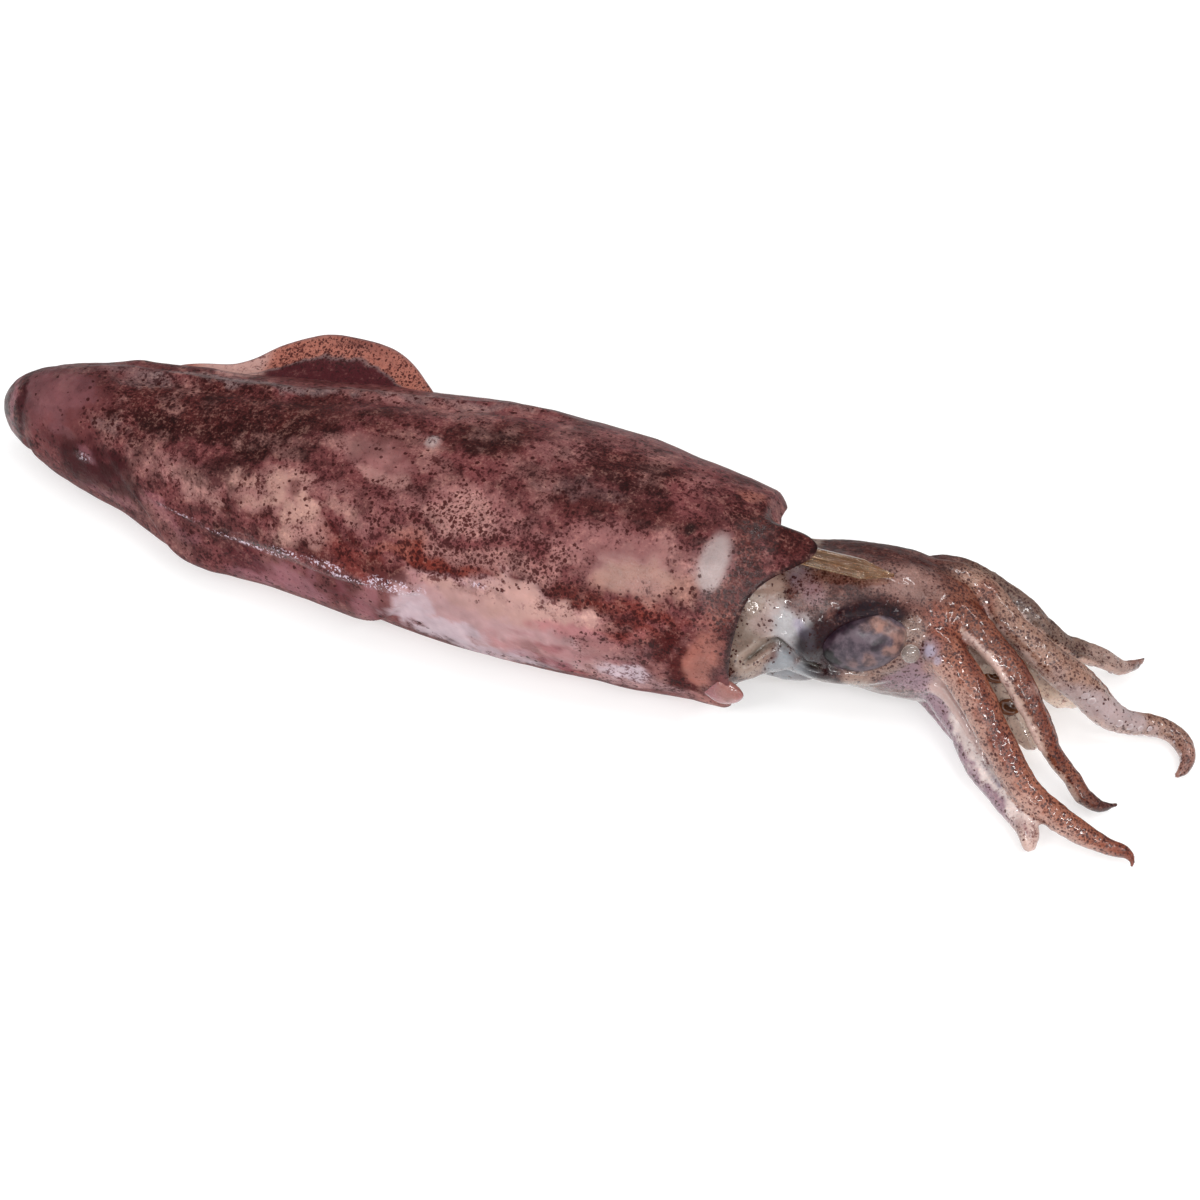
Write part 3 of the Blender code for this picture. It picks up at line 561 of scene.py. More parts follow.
# Patches of the mantle: paint, then distance from the tail tip, angle, half length, half angle and strength
MANTLE_TONES = (
    # Back and upper flank
    ("brown", (
        (62, 4, 34, 28, 0.8), (45, 30, 16, 14, 0.4), (92, -4, 14, 20, 0.7), (138, -9, 15, 14, 0.75),
        (178, -9, 15, 12, 0.7), (208, -8, 9, 14, 0.5), (178, 12, 26, 7, 0.7), (48, -30, 14, 6, 0.5),
        (116, -10, 12, 6, 0.5), (116, 1, 13, 5, 0.6),
    )),
    ("bruise", (
        (66, 22, 24, 9, 0.75), (84, 18, 14, 12, 0.75), (80, 32, 7, 6, 0.6), (56, 31, 7, 6, 0.8),
        (92, 8, 8, 8, 0.6), (178, 0, 14, 6, 0.75), (108, -10, 5, 5, 0.6), (130, -14, 6, 4, 0.5),
        (137, -5, 9, 9, 0.85), (160, 4, 12, 4, 0.4), (76, 36, 8, 5, 0.6), (94, 27, 7, 5, 0.8),
        (50, 50, 3.5, 14, 0.5), (184, -12, 8, 6, 0.5),
    )),
    # Grey-tan granular skin near the tail, and a painted grey sheen in the long narrow patches at angles
    # -20 to -33 along the fin-fold ridge
    ("ash_and_sheen", (
        (42, -11, 12, 9, 0.55), (40, 32, 8, 8, 0.45), (72, -20, 30, 3.8, 0.9), (104, -27, 16, 3.6, 0.7),
        (134, -33, 18, 3.6, 0.6), (168, 9, 12, 4, 0.35), (24, -20, 9, 8, 0.4),
    )),
    ("rose", (
        (113, 16, 13, 8, 0.8), (127, 27, 8, 7, 0.6), (68, 44, 10, 7, 0.4), (106, 38, 7, 6, 0.5),
        (114, 46, 8, 5, 0.6), (157, -10, 8, 11, 0.5), (146, 28, 20, 9, 0.7), (170, 29, 8, 7, 0.6),
        (112, -22, 8, 4, 0.4), (118, 38, 10, 7, 0.3), (194, -12, 6, 9, 0.45), (62, 49, 15, 10, 0.75),
        (17, 26, 8, 26, 0.25), (165, -28, 18, 8, 0.35), (208, 30, 5, 26, 0.3), (128, -24, 10, 5, 0.3),
    )),
    ("pink", (
        (119, 20, 8, 6, 0.75), (127, 6, 3, 8, 0.4), (16, 30, 4, 12, 0.25), (26, 53, 3, 6, 0.2),
        (68, 48, 8, 6, 0.5), (104, 60, 7, 8, 0.8), (104, 14, 6, 6, 0.45), (142, 31, 9, 7, 0.8),
        (154, 47, 18, 7, 0.65), (171, 36, 6, 6, 0.5), (66, 50, 9, 6, 0.5), (158, -8, 4, 5, 0.4),
        (134, 46, 10, 5, 0.35),
    )),
    # Pale islands of the near flank
    ("pink", ((92, 46, 17, 14, 0.7), (98, 64, 8, 6, 0.55), (63, -34, 8, 11, 0.95), (74, 52, 8, 8, 0.5))),
    ("cream", (
        (84, 39, 5, 4, 0.5), (92, 41, 4, 5, 0.7), (90, 50, 5, 5, 0.85), (103, 50, 4.5, 9, 0.95),
        (97, 55, 4, 5, 0.8), (84, 50, 4, 4, 0.5), (98, 64, 4, 5, 0.6), (111, 46, 6, 4, 0.35),
        (76, 53, 4, 3, 0.4), (96, 38, 5, 3, 0.3),
    )),
    # Tail
    ("tail_mauve", ((17, 16, 14, 36, 0.7), (12, 40, 8, 40, 0.4))),
    ("purple", (
        (38, 76, 16, 24, 0.9), (8, 56, 7, 26, 0.5), (26, 62, 9, 14, 0.5), (51, 82, 8, 9, 0.6),
        (3, 30, 4, 90, 0.3), (6, 60, 6, 34, 0.4), (8.6, 38, 1.8, 90, 0.9), (48, 88, 16, 14, 0.6),
        (42, 62, 7, 8, 0.5), (66, 104, 10, 14, 0.35), (3.5, 38, 2.5, 100, 0.5),
    )),
    ("tail_mauve", ((24, 53, 4, 8, 0.6),)),
    ("mauve", ((5.8, 50, 1.2, 60, 0.5), (32, 64, 4, 8, 0.5), (58, 76, 7, 6, 0.4), (42, 92, 10, 5, 0.4))),
    ("bruise", (
        (41, 68, 5, 8, 0.6), (52, 72, 4, 7, 0.6), (79, 76, 6, 8, 0.7), (72, 64, 5, 5, 0.5),
        (46, 82, 6, 5, 0.5), (84, 99, 2.5, 8, 0.7), (70, 90, 6, 5, 0.4),
    )),
    ("mauve", (
        (104, 92, 11, 15, 0.8), (92, 94, 7, 13, 0.6), (88, 99, 9, 6, 0.6), (66, 84, 8, 6, 0.4),
        (121, 90, 5, 20, 0.6),
    )),
    ("dark_wine_and_shade", (
        (115, 84, 3.0, 22, 0.55), (87, 86, 8, 8, 0.8), (124, 74, 4, 5, 0.3), (127, 88, 4, 11, 0.6),
    )),
    # Belly side in front of the near fin
    ("milk", (
        (147, 84, 19, 23, 0.95), (160, 63, 15, 12, 0.95), (170, 84, 22, 18, 0.8), (190, 100, 14, 12, 0.7),
        (139, 68, 11, 12, 0.9), (175, 68, 8, 9, 0.7),
    )),
    ("belly_cream", ((160, 62, 10, 11, 0.75), (148, 68, 10, 8, 0.6), (168, 70, 8, 8, 0.5))),
    ("pinkish", (
        (181, 74, 15, 9, 0.85), (177, 64, 7, 6, 0.6), (160, 92, 10, 5, 0.55), (172, 90, 10, 5, 0.5),
        (150, 88, 7, 4, 0.3), (134, 64, 6, 4, 0.5),
    )),
    ("lilac", (
        (140, 92, 13, 11, 0.85), (190, 96, 8, 7, 0.95), (152, 104, 20, 9, 0.8), (135, 80, 5, 7, 0.7),
    )),
    ("wine", (
        (172, 102, 10, 4, 0.75), (165, 98, 8, 4, 0.5), (168, 89, 5, 4, 0.5), (162, 82, 3, 2.5, 0.3),
        (186, 88, 8, 3, 0.4),
    )),
)
MANTLE_ACCENTS = (
    # Rust and blood around the torn skin
    ("rust", (
        (136, 54, 14, 4.0, 0.85), (117, 62, 12, 7, 0.5), (117, 71, 6, 5, 0.5), (150, 54, 4, 3, 0.5),
        (188, 56, 14, 4.5, 0.6), (190, 68, 10, 8, 0.6), (176, 52, 8, 5, 0.4),
    )),
    ("coral", ((131, 47, 6, 3.6, 0.45), (126, 54, 5, 3, 0.4))),
    ("blood", (
        (117, 54, 4.5, 3.5, 0.9), (111, 57, 3.5, 2.5, 0.75), (122, 57, 3, 2, 0.7), (124, 65, 8, 5, 0.7),
        (108, 66, 9, 4, 0.55), (79, 57, 4, 2.6, 0.7), (88, 59, 4, 2, 0.7), (80, 49, 3, 2, 0.5),
        (94, 60, 3, 2, 0.5), (97, 44, 1.5, 4, 0.5), (139, 57, 9, 1.2, 0.6), (198.5, 72, 3.6, 12, 0.95),
        (178, 58, 8, 3.0, 0.45), (186, 64, 4, 5, 0.5), (192, 76, 6, 5, 0.6), (170, 52, 4, 3, 0.5),
    )),
    # Pale patch and the white blob behind the rim
    ("rose", ((184, 34, 15, 15, 0.8), (192, 24, 9, 6, 0.4))),
    ("pink", ((187, 40, 13, 12, 0.6), (194, 30, 7, 8, 0.4))),
    ("patch_cream", ((187, 42, 11, 10, 0.8), (183, 42, 6, 6, 0.6), (197, 40, 5, 9, 0.6))),
    ("rose", ((177, 31, 5, 5, 0.4), (190, 47, 3, 3, 0.25))),
    # Rim
    ("brown", ((218, 0, 10, 13, 0.9),)),
    ("dry_brown", ((211, 30, 5.5, 36, 0.85), (208, 48, 5, 8, 0.6), (176, 50, 7, 5, 0.5))),
    ("coral", ((207.4, 74, 4.6, 20, 0.95), (207, 53, 5, 7, 0.4), (206, -22, 3, 6, 0.8))),
    ("lobe", ((212, 106, 8, 9, 0.9),)),
    ("blood", (
        (202.6, 82, 2.2, 18, 0.95), (206, 93.5, 6.0, 5.2, 0.95), (211.4, 82, 1.1, 12, 0.6),
        (203, 62, 3, 2.6, 0.4),
    )),
    ("belly_cream", ((141, 63.5, 6, 4.6, 0.8), (172, 63, 9, 7.5, 0.9), (160, 57, 6, 5, 0.6))),
    ("pink", ((104, 62, 4.5, 5, 0.7), (183, 66, 5, 3, 0.4))),
    ("rose", ((183, 81, 9, 7, 0.7),)),
    # Painted grey sheen along the fin-fold ridge, with grey-tan skin near the tail
    ("ash_and_sheen", ((69, -19, 26, 3.6, 0.35), (36, -19, 8, 5, 0.35))),
)

# Sharp patches that keep their drawn outline
MANTLE_MARKS = (
    ("blackish", (
        (196, 13, 1.5, 4, 0.9), (199, 17, 2.0, 2.2, 0.5), (175, 17, 4, 2.4, 0.45), (186, 16, 4, 2.2, 0.4),
    )),
    ("white", ((204.2, 25, 3.8, 17, 0.9), (204.6, 31, 3.0, 9, 0.6), (126, 0.5, 2.0, 3.6, 0.7))),
)


def smooth_curve(stations, at):
    """Values of a smooth curve through the stations, whose first column is the position along it."""
    table = np.asarray(stations, float)
    places, values = table[:, 0], table[:, 1:]
    at = np.clip(np.asarray(at, float), places[0], places[-1])
    slopes = np.gradient(values, places, axis=0)
    left = np.clip(np.searchsorted(places, at, side="right") - 1, 0, len(places) - 2)
    span = (places[left + 1] - places[left])[..., None]
    share = (at - places[left])[..., None] / span
    square, cube = share**2, share**3
    return (
        (2 * cube - 3 * square + 1) * values[left]
        + (cube - 2 * square + share) * span * slopes[left]
        + (3 * square - 2 * cube) * values[left + 1]
        + (cube - square) * span * slopes[left + 1]
    )


def rounded(value, roundness):
    """A cosine or sine bent towards a fuller oval."""
    return np.sign(value) * np.abs(value) ** (2.0 / roundness)


def bump(value, centre, spread):
    """A smooth hill of height 1."""
    return np.exp(-(((value - centre) / spread) ** 2))


def ramp(value, low, high):
    """0 below low, 1 above high, smooth between."""
    share = np.clip((value - low) / (high - low), 0.0, 1.0)
    return share * share * (3.0 - 2.0 * share)


def place(points):
    """Layout millimetres to metres about the origin."""
    return (np.asarray(points, float) - np.array(ORIGIN)) * MM


def lattice(cells, seed):
    """A repeatable number of -1 to 1 for each whole-numbered place."""
    key = cells[..., 0] * 73856093 ^ cells[..., 1] * 19349663 ^ cells[..., 2] * 83492791 ^ seed * 2654435761
    key = (key ^ (key >> 13)) * 1274126177 & 0xFFFFFFFF
    return ((key ^ (key >> 16)) & 0xFFFF) / 32767.5 - 1.0


def cloud(points, size, octaves, seed):
    """Smooth cloudy noise, about -1 to 1, with features of the given size in millimetres."""
    total = np.zeros(len(points))
    for octave in range(octaves):
        spots = np.asarray(points, float) * (2.0**octave / size) + 31.7 * (seed + octave)
        cells = np.floor(spots).astype(np.int64)
        share = spots - cells
        share = share * share * (3.0 - 2.0 * share)
        for corner in np.ndindex(2, 2, 2):
            step = np.array(corner)
            weight = np.prod(np.where(step == 1, share, 1.0 - share), axis=-1)
            total += 0.62**octave * weight * lattice(cells + step, seed + octave)
    return total


# Shapes of the mantle


def mantle_sizes(x):
    """Half width, back and underside of the mantle; the square root keeps the tail tip round."""
    rooted = [(math.sqrt(s[0]), *s[1:]) for s in MANTLE_STATIONS]
    return np.moveaxis(smooth_curve(rooted, np.sqrt(np.clip(x, 0.0, None))), -1, 0)


def near_fin_edge(x):
    """Angle that the near fin's margin reaches down the flank."""
    back = ramp(x, FIN_START, FIN_WIDEST - 4.0)
    front = 1.0 - ramp(x, FIN_FRONT, FIN_END + 6.0)
    return NEAR_FIN_ROOT + (NEAR_FIN_LOW - NEAR_FIN_ROOT) * np.minimum(back, front)


def mantle_skin(x, angle, relief=0.0):
    """Points of the mantle's outer skin, lifted by relief."""
    half, top, bottom = mantle_sizes(x)
    bottom = np.maximum(bottom, 0.0)
    turn = np.radians(angle)
    up, side = np.cos(turn), np.sin(turn)
    level = bottom + WIDEST_LEVEL * (top - bottom)
    upper = up >= 0
    press = BELLY_PRESS * ramp(x, 20.0, 50.0)
    edge = near_fin_edge(x)
    on_fin = ramp(angle, NEAR_FIN_ROOT, NEAR_FIN_ROOT + 12.0) * (1.0 - ramp(angle, edge - 5.0, edge + 3.0))
    on_fin = on_fin * (edge > NEAR_FIN_ROOT + 4.0) * ramp(x, 24.0, 78.0)
    corner = bump(x, FIN_WIDEST - 17.0, 16.0) * bump(angle, 106.0, 16.0)
    flap = ramp(x, 200.0, 212.0) * bump(angle, FLAP_ANGLE, FLAP_SPREAD)
    far_side = ramp(-angle, 4.0, 20.0) * (1.0 - ramp(-angle, 70.0, 110.0))
    far_side = far_side * (1.0 - 0.5 * bump(angle, -45.0, 16.0))
    tuck = FAR_RIM_TUCK * ramp(x, RIM_SIDE - 3.5, RIM_SIDE + 1.0) * far_side
    lift = NEAR_FIN_THICKNESS * on_fin + NEAR_CORNER_FLARE * corner + FLAP_FLARE * flap + relief - tuck
    y = -half * rounded(side, np.where(upper, BACK_ROUNDNESS, BELLY_ROUNDNESS))
    rise = np.where(upper, (top - level) * rounded(up, BACK_ROUNDNESS),
                    (level - bottom + press) * rounded(up, BELLY_ROUNDNESS))
    z = np.maximum(level + rise + lift * up, bottom)
    return np.stack(np.broadcast_arrays(x, y - lift * side, z), axis=-1)


def rim_place(angle):
    """How far forward the rim reaches at an angle round the mantle."""
    fade = np.where(angle >= 0.0, RIM_LOBE_NEAR, RIM_LOBE_FAR)
    flap = FLAP_REACH * bump(angle, FLAP_ANGLE, FLAP_SPREAD)
    corner = CORNER_TUCK * ramp(angle, 104.0, 128.0) * (1.0 - ramp(angle, 145.0, 178.0))
    far_corner = FAR_CORNER_TUCK * ramp(-angle, 40.0, 75.0) * (1.0 - ramp(-angle, 145.0, 178.0))
    return RIM_SIDE + RIM_LOBE * np.exp(-((angle / fade) ** 2)) + flap - corner - far_corner


def sock_place(along, angle):
    """Distance from the tail, and how far over the lip, into the pocket and across its floor."""
    rim = rim_place(angle)
    outside = np.clip(along / OUTSIDE_END, 0.0, 1.0) ** OUTSIDE_SPACING
    over = np.clip((along - OUTSIDE_END) / (LIP_END - OUTSIDE_END), 0.0, 1.0)
    inside = np.clip((along - LIP_END) / (WALL_END - LIP_END), 0.0, 1.0)
    closing = np.clip((along - WALL_END) / (1.0 - WALL_END), 0.0, 1.0)
    x = rim * outside + LIP_CURL * np.sin(np.pi * over) - LIP_DROP * over
    x = x + (RIM_SIDE - POCKET_DEPTH - (rim - LIP_DROP)) * inside
    return x, over, inside, closing


def sock(x, angle, over, inside, closing, relief):
    """Mantle points, outside, over the lip and inside the pocket."""
    skin = mantle_skin(x, angle, relief)
    _, top, bottom = mantle_sizes(x)
    middle = np.stack([x, 0.0 * x, (top + bottom) / 2], axis=-1)
    reach = np.linalg.norm((skin - middle)[..., 1:], axis=-1)
    wall = RIM_WALL * (0.4 + 0.6 * ramp(inside, 0.0, 0.3)) + POCKET_WALL_GROWTH * inside
    shrink = 1.0 - over * wall / np.maximum(reach, wall * 1.01)
    shrink = shrink * (1.0 - closing)
    return middle + (skin - middle) * shrink[..., None]


# Meshes


def new_ball(name, around, along):
    """A sphere's mesh with its poles on the long axis, to be bent into shape."""
    ball = bmesh.new()
    bmesh.ops.create_uvsphere(ball, u_segments=around, v_segments=along, radius=1.0)
    return finish_mesh(name, ball)


def finish_mesh(name, shell):
    """Turn a bmesh into a mesh."""
    data = bpy.data.meshes.new(name)
    shell.to_mesh(data)
    shell.free()
    return data


def join_meshes(name, pieces):
    """Several meshes in one."""
    whole = bmesh.new()
    for data in pieces:
        whole.from_mesh(data)
        bpy.data.meshes.remove(data)
    return finish_mesh(name, whole)


def read_points(data):
    """The vertices of a mesh as rows."""
    flat = np.empty(len(data.vertices) * 3)
    data.vertices.foreach_get("co", flat)
    return flat.reshape(-1, 3)


def write_points(data, points):
    """Put layout points into a mesh, in metres."""
    data.vertices.foreach_set("co", place(points).ravel())
    data.update()


def ball_angles(data):
    """Share of the way from the first pole to the last, and the angle round the axis, of each vertex."""
    spots = read_points(data)
    along = np.arccos(np.clip(spots[:, 2], -1.0, 1.0)) / np.pi
    around = np.degrees(np.arctan2(spots[:, 1], spots[:, 0]))
    return along, around


def turn_outward(data):
    """Turn every face outward."""
    shell = bmesh.new()
    shell.from_mesh(data)
    bmesh.ops.recalc_face_normals(shell, faces=shell.faces)
    shell.to_mesh(data)
    shell.free()


def add_object(name, data):
    """An object of the scene."""
    thing = bpy.data.objects.new(name, data)
    bpy.context.scene.collection.objects.link(thing)
    return thing


def add_piece(name, data, material):
    """A named piece that rides on the squid."""
    data.shade_smooth()
    data.materials.clear()
    data.materials.append(material)
    piece = add_object(name, data)
    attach(piece, "root")
    return piece


def store(data, name, values):
    """Keep one number, or one colour, for each vertex."""
    values = np.asarray(values, float)
    if values.ndim == 1:
        layer = data.attributes.new(name, "FLOAT", "POINT")
        layer.data.foreach_set("value", values)
        return
    layer = data.attributes.new(name, "FLOAT_COLOR", "POINT")
    layer.data.foreach_set("color", np.c_[values, np.ones(len(values))].ravel())


def store_skin(data, tone, dots, grain, painted_glints, wet):
    """Keep what the skin's material reads; a mark is one number for each vertex or one for all."""
    store(data, "tone", tone)
    for name, level in (("dots", dots), ("grain", grain), ("painted_glints", painted_glints), ("wet", wet)):
        store(data, name, np.zeros(len(tone)) + level)


# Painting


def tint(paint):
    """The base colour that shows as the paint's 0 to 255 under the lamps and the wet film."""
    shares = np.array(PAINTS[paint]) / 255.0
    linear = np.where(shares <= 0.04045, shares / 12.92, ((shares + 0.055) / 1.055) ** 2.4)
    return np.maximum((linear - FILM_VEIL) / LAMP_GAIN, 0.003)


def shader_tint(paint):
    """A paint's base colour as a shader takes it."""
    return (*tint(paint), 1.0)


def plain_tone(paint, count):
    """The same paint for each of so many vertices."""
    return np.tile(tint(paint), (count, 1))


def smear(tone, weight, paint):
    """Lay a paint over the tones with a weight of 0 to 1."""
    return tone + (tint(paint) - tone) * weight[:, None]


def patch_weight(x, angle, patch, ragged):
    """How far a vertex lies inside a patch: place, angle, half length, half angle, strength."""
    centre, turn, length, width, strength = patch
    away = np.sqrt(((x - centre) / length) ** 2 + ((angle - turn) / width) ** 2)
    return strength * (1.0 - ramp(away + ragged, 0.6, 1.15))


def blob_weight(points, blob, ragged):
    """How far a vertex lies inside a blob: place, half size, strength."""
    reach, strength = blob[3], blob[4]
    away = np.linalg.norm(points - np.array(blob[:3]), axis=1) / reach
    return strength * (1.0 - ramp(away + ragged, 0.45, 1.25))


def polyline_gap(points, path):
    """Distance from each point to a chain of straight lines."""
    best = np.full(len(points), 1e9)
    for start, end in zip(path[:-1], path[1:]):
        start, end = np.array(start, float), np.array(end, float)
        ahead = end - start
        share = np.clip((points - start) @ ahead / (ahead @ ahead), 0.0, 1.0)
        best = np.minimum(best, np.linalg.norm(points - start - share[:, None] * ahead, axis=1))
    return best


def lay_patches(tone, groups, x, angle, ragged):
    """Lay each group's paint over its patches of the mantle."""
    for paint, patches in groups:
        for patch in patches:
            tone = smear(tone, patch_weight(x, angle, patch, ragged), paint)
    return tone


def mark_levels(x, angle, base, patches, ragged):
    """One mark's level: the base, and inside each patch the patch's last number."""
    level = np.full(len(x), base)
    for patch in patches:
        weight = patch_weight(x, angle, (*patch[:4], 1.0), ragged)
        level = level + (patch[4] - level) * weight
    return level


def warped(x, angle, spots):
    """Places on the mantle nudged by cloudy noise, so that the patches get natural outlines."""
    drift = cloud(spots, 12.0, 5, 3)
    swirl = cloud(spots, 12.0, 5, 23)
    return x + 2.4 * drift, angle + 5.0 * swirl


def paint_mantle(x, angle, inside, spots, bent, ragged):
    """Tone of the mantle's skin for each vertex; bent holds the nudged places for soft patches."""
    tone = plain_tone("maroon", len(x))
    hidden = np.abs(angle)
    belly = ramp(hidden, 88.0, 128.0) * ramp(x, 20.0, 90.0)
    tone = smear(tone, belly * (angle < 0), "pinkish")
    tone = smear(tone, ramp(hidden, 112.0, 140.0) * ramp(x, 30.0, 70.0), "milk")
    tone = lay_patches(tone, MANTLE_TONES, *bent, ragged)
    mottle = mark_levels(*bent, MANTLE_BASE["mottle"], MANTLE_MOTTLE, ragged)
    tone = smear(tone, 0.55 * mottle * ramp(cloud(spots, 8.0, 5, 19), 0.1, 0.6), "pink")
    tone = smear(tone, 0.75 * mottle * ramp(cloud(spots, 6.0, 5, 15), 0.05, 0.5), "bruise")
    tone = lay_patches(tone, MANTLE_ACCENTS, *bent, ragged)
    tone = lay_patches(tone, MANTLE_MARKS, x, angle, 0.3 * ragged)
    shade = 1.0 + 0.10 * cloud(spots, 14.0, 2, 11) + 0.14 * cloud(spots, 3.0, 3, 13)
    tone = tone * shade[:, None]
    lip = (1.0 - ramp(rim_place(angle) - x, 0.2, 1.1)) * ramp(angle, -16.0, -6.0)
    lip = lip * (1.0 - ramp(angle, 76.0, 88.0))
    tone = smear(tone, 0.8 * lip, "blackish")
    return smear(tone, ramp(inside, 0.02, 0.12), "milk")


def mantle_relief(x, angle, spots):
    """Height of folds, swellings and fine wrinkles on the mantle, in millimetres."""
    fin_fold = -20.0 - 18.0 * ramp(x, 75.0, 150.0)
    body = ramp(x, 14.0, 40.0) * (1.0 - ramp(x, 145.0, 165.0))
    folds = 0.9 * body * bump(angle, fin_fold, 4.0) - 0.5 * body * bump(angle, fin_fold + 9.0, 5.0)
    folds = folds + 1.7 * ramp(x, 23.0, 38.0) * (1.0 - ramp(x, 52.0, 72.0)) * bump(angle, -36.0, 14.0)
    flank = ramp(x, 50.0, 66.0) * (1.0 - ramp(x, 132.0, 146.0))
    wave = 75.0 + 2.2 * np.sin(x / 5.5)
    folds = folds + 0.35 * flank * bump(angle, wave, 1.6) - 0.3 * flank * bump(angle, wave + 5.0, 4.0)
    blob = bump(np.hypot((x - 203.3) / 3.4, (angle - 26.0) / 13.0), 0.0, 0.9)
    knot = bump(np.hypot((x - 126.0) / 1.8, angle / 3.2), 0.0, 0.8)
    tail = 1.0 - ramp(x, 8.0, 34.0)
    tuck = -1.1 * bump(x, 9.5 + 0.02 * angle, 1.5) * ramp(angle, 8.0, 30.0)
    wrinkles = cloud(spots * np.array([0.5, 1.0, 1.0]), 2.4, 2, 9)
    lumps = 0.5 * cloud(spots, 24.0, 2, 4) + 0.2 * cloud(spots, 8.0, 2, 5)
    return folds + lumps + 0.7 * blob + 0.8 * knot + 0.6 * tuck + (0.05 + 0.10 * tail) * wrinkles


def add_mantle():
    """The mantle's skin with the near fin lying on its flank and the pocket of its mouth."""
    data = new_ball("mantle_skin", MANTLE_ROUND, MANTLE_LONG)
    along, angle = ball_angles(data)
    x, over, inside, closing = sock_place(along, angle)
    flat = mantle_skin(x, angle)
    relief = mantle_relief(x, angle, flat) * (1.0 - over)
    write_points(data, sock(x, angle, over, inside, closing, relief))
    turn_outward(data)
    ragged = 0.28 * cloud(flat, 4.0, 4, 6)
    bent = warped(x, angle, flat)
    outside = 1.0 - ramp(inside, 0.0, 0.2)
    store_skin(
        data,
        tone=paint_mantle(x, angle, inside, flat, bent, ragged),
        dots=mark_levels(*bent, MANTLE_BASE["dots"], MANTLE_DOTS, ragged) * outside,
        grain=mark_levels(*bent, MANTLE_BASE["grain"], MANTLE_GRAIN, ragged) * outside,
        painted_glints=mark_levels(x, angle, MANTLE_BASE["painted_glints"], MANTLE_PAINTED_GLINTS, ragged),
        wet=mark_levels(x, angle, MANTLE_BASE["wet"], MANTLE_WET, ragged),
    )
    material = skin_material("mantle_wet_skin", shine=0.32, speck=900.0, film=0.0)
    mantle = add_piece("mantle_skin", data, material)
    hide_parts("mantle")


def far_fin_points(along, out):
    """Middle surface of the far fin: along 0 to 1 from tail to front, out 0 to 1 from root to margin."""
    x = FIN_START + (FIN_END - FIN_START) * along
    root = mantle_skin(x, np.full_like(x, FAR_FIN_ROOT))
    reach = smooth_curve(FAR_FIN_OUTLINE, x)[..., 0] * out
    lobe = ramp(x, 34.0, 46.0) * (1.0 - ramp(x, 108.0, 124.0))
    dip = FAR_FIN_DIP_ENDS + (FAR_FIN_DIP - FAR_FIN_DIP_ENDS) * lobe - FAR_FIN_RISE * bump(x, 49.0, 9.0)
    valley = dip * np.sin(np.pi * np.clip(reach / FAR_FIN_VALLEY, 0.0, 1.0))
    sink = 1.6 * (1.0 - out)
    y = root[..., 1] + 0.92 * reach - 1.0
    z = root[..., 2] - 0.08 * reach - valley - sink
    return np.stack([x - 0.06 * reach, y, z], axis=-1)


def add_far_fin():
    """The far fin, a sheet with a thin margin that dips behind the back and lifts again."""
    sheet = bmesh.new()
    bmesh.ops.create_grid(sheet, x_segments=FAR_FIN_GRID[0], y_segments=FAR_FIN_GRID[1], size=0.5)
    data = finish_mesh("far_fin", sheet)
    spots = read_points(data) + 0.5
    along, out = spots[:, 0], spots[:, 1]
    points = far_fin_points(along, out)
    x = FIN_START + (FIN_END - FIN_START) * along
    waves = 0.35 * cloud(points, 9.0, 2, 7) + 0.5 * out**3 * np.sin(x / 4.3 + 0.8)
    points[:, 2] += waves * ramp(out, 0.3, 0.8)
    write_points(data, points)
    dots = ramp(out, 0.6, 0.75) * (1.0 - ramp(out, 0.96, 0.99))
    dots = dots * (1.0 - 0.7 * bump(x, 99.0, 5.0)) * ramp(x, 64.0, 72.0)
    store_skin(data, paint_far_fin(x, out, points), dots, grain=0.5, painted_glints=0.0, wet=0.4)
    material = skin_material("far_fin_skin", shine=0.4, speck=1200.0, film=0.0)
    fin = add_piece("far_fin", data, material)
    group = fin.vertex_groups.new(name="body")
    for index, share in enumerate(1.0 - 0.75 * ramp(out, 0.4, 0.97)):
        group.add([index], float(share), "REPLACE")
    wall = fin.modifiers.new("thickness", "SOLIDIFY")
    wall.thickness = FAR_FIN_THICKNESS * MM
    wall.offset = 0.0
    wall.vertex_group = "body"


def paint_far_fin(x, out, points):
    """Dark wine at the root as painted shade in the valley, spotted coral lobe outside with a thin dark
    margin.
    """
    ragged = 0.05 * cloud(points, 7.0, 4, 17)
    valley = 0.60 + 0.17 * bump(x, 88.0, 20.0) + ragged
    # The root and the valley keep the dark wine as painted shade; past the valley's edge the lobe turns
    # coral
    tone = plain_tone("dark_wine_and_shade", len(x))
    tone = smear(tone, ramp(out - valley, -0.01, 0.03), "fin_coral")
    tone = smear(tone, 1.0 - ramp(x, 40.0, 52.0), "maroon")
    tone = smear(tone, ramp(x, 49.0, 54.0) * (1.0 - ramp(x, 66.0, 70.0)), "belly_cream")
    tone = smear(tone, 0.6 * bump(x, 100.0, 8.0) * ramp(out, 0.75, 0.85), "coral")
    tone = smear(tone, 0.8 * bump(x, 120.0, 6.0) * ramp(out, 0.6, 0.9), "blood")
    tone = smear(tone, 0.5 * bump(x, 92.0, 6.0) * ramp(out, 0.86, 0.94), "dark_wine_and_shade")
    tone = smear(tone, 0.75 * ramp(out, 0.965, 1.0), "ash_and_sheen")
    return smear(tone, 0.8 * bump(out - valley, 0.0, 0.02), "ash_and_sheen")


# Limbs


def route(points, count):
    """Evenly spread places, directions and half thicknesses along a smooth limb."""
    points = np.asarray(points, float)
    steps = np.linalg.norm(np.diff(points[:, :3], axis=0), axis=1)
    lengths = np.r_[0.0, np.cumsum(steps)]
    at = np.linspace(0.0, lengths[-1], count)
    values = smooth_curve(np.c_[lengths, points], at)
    ahead = np.gradient(values[:, :3], at, axis=0)
    ahead /= np.linalg.norm(ahead, axis=1)[:, None]
    return lengths[-1], at, values, ahead


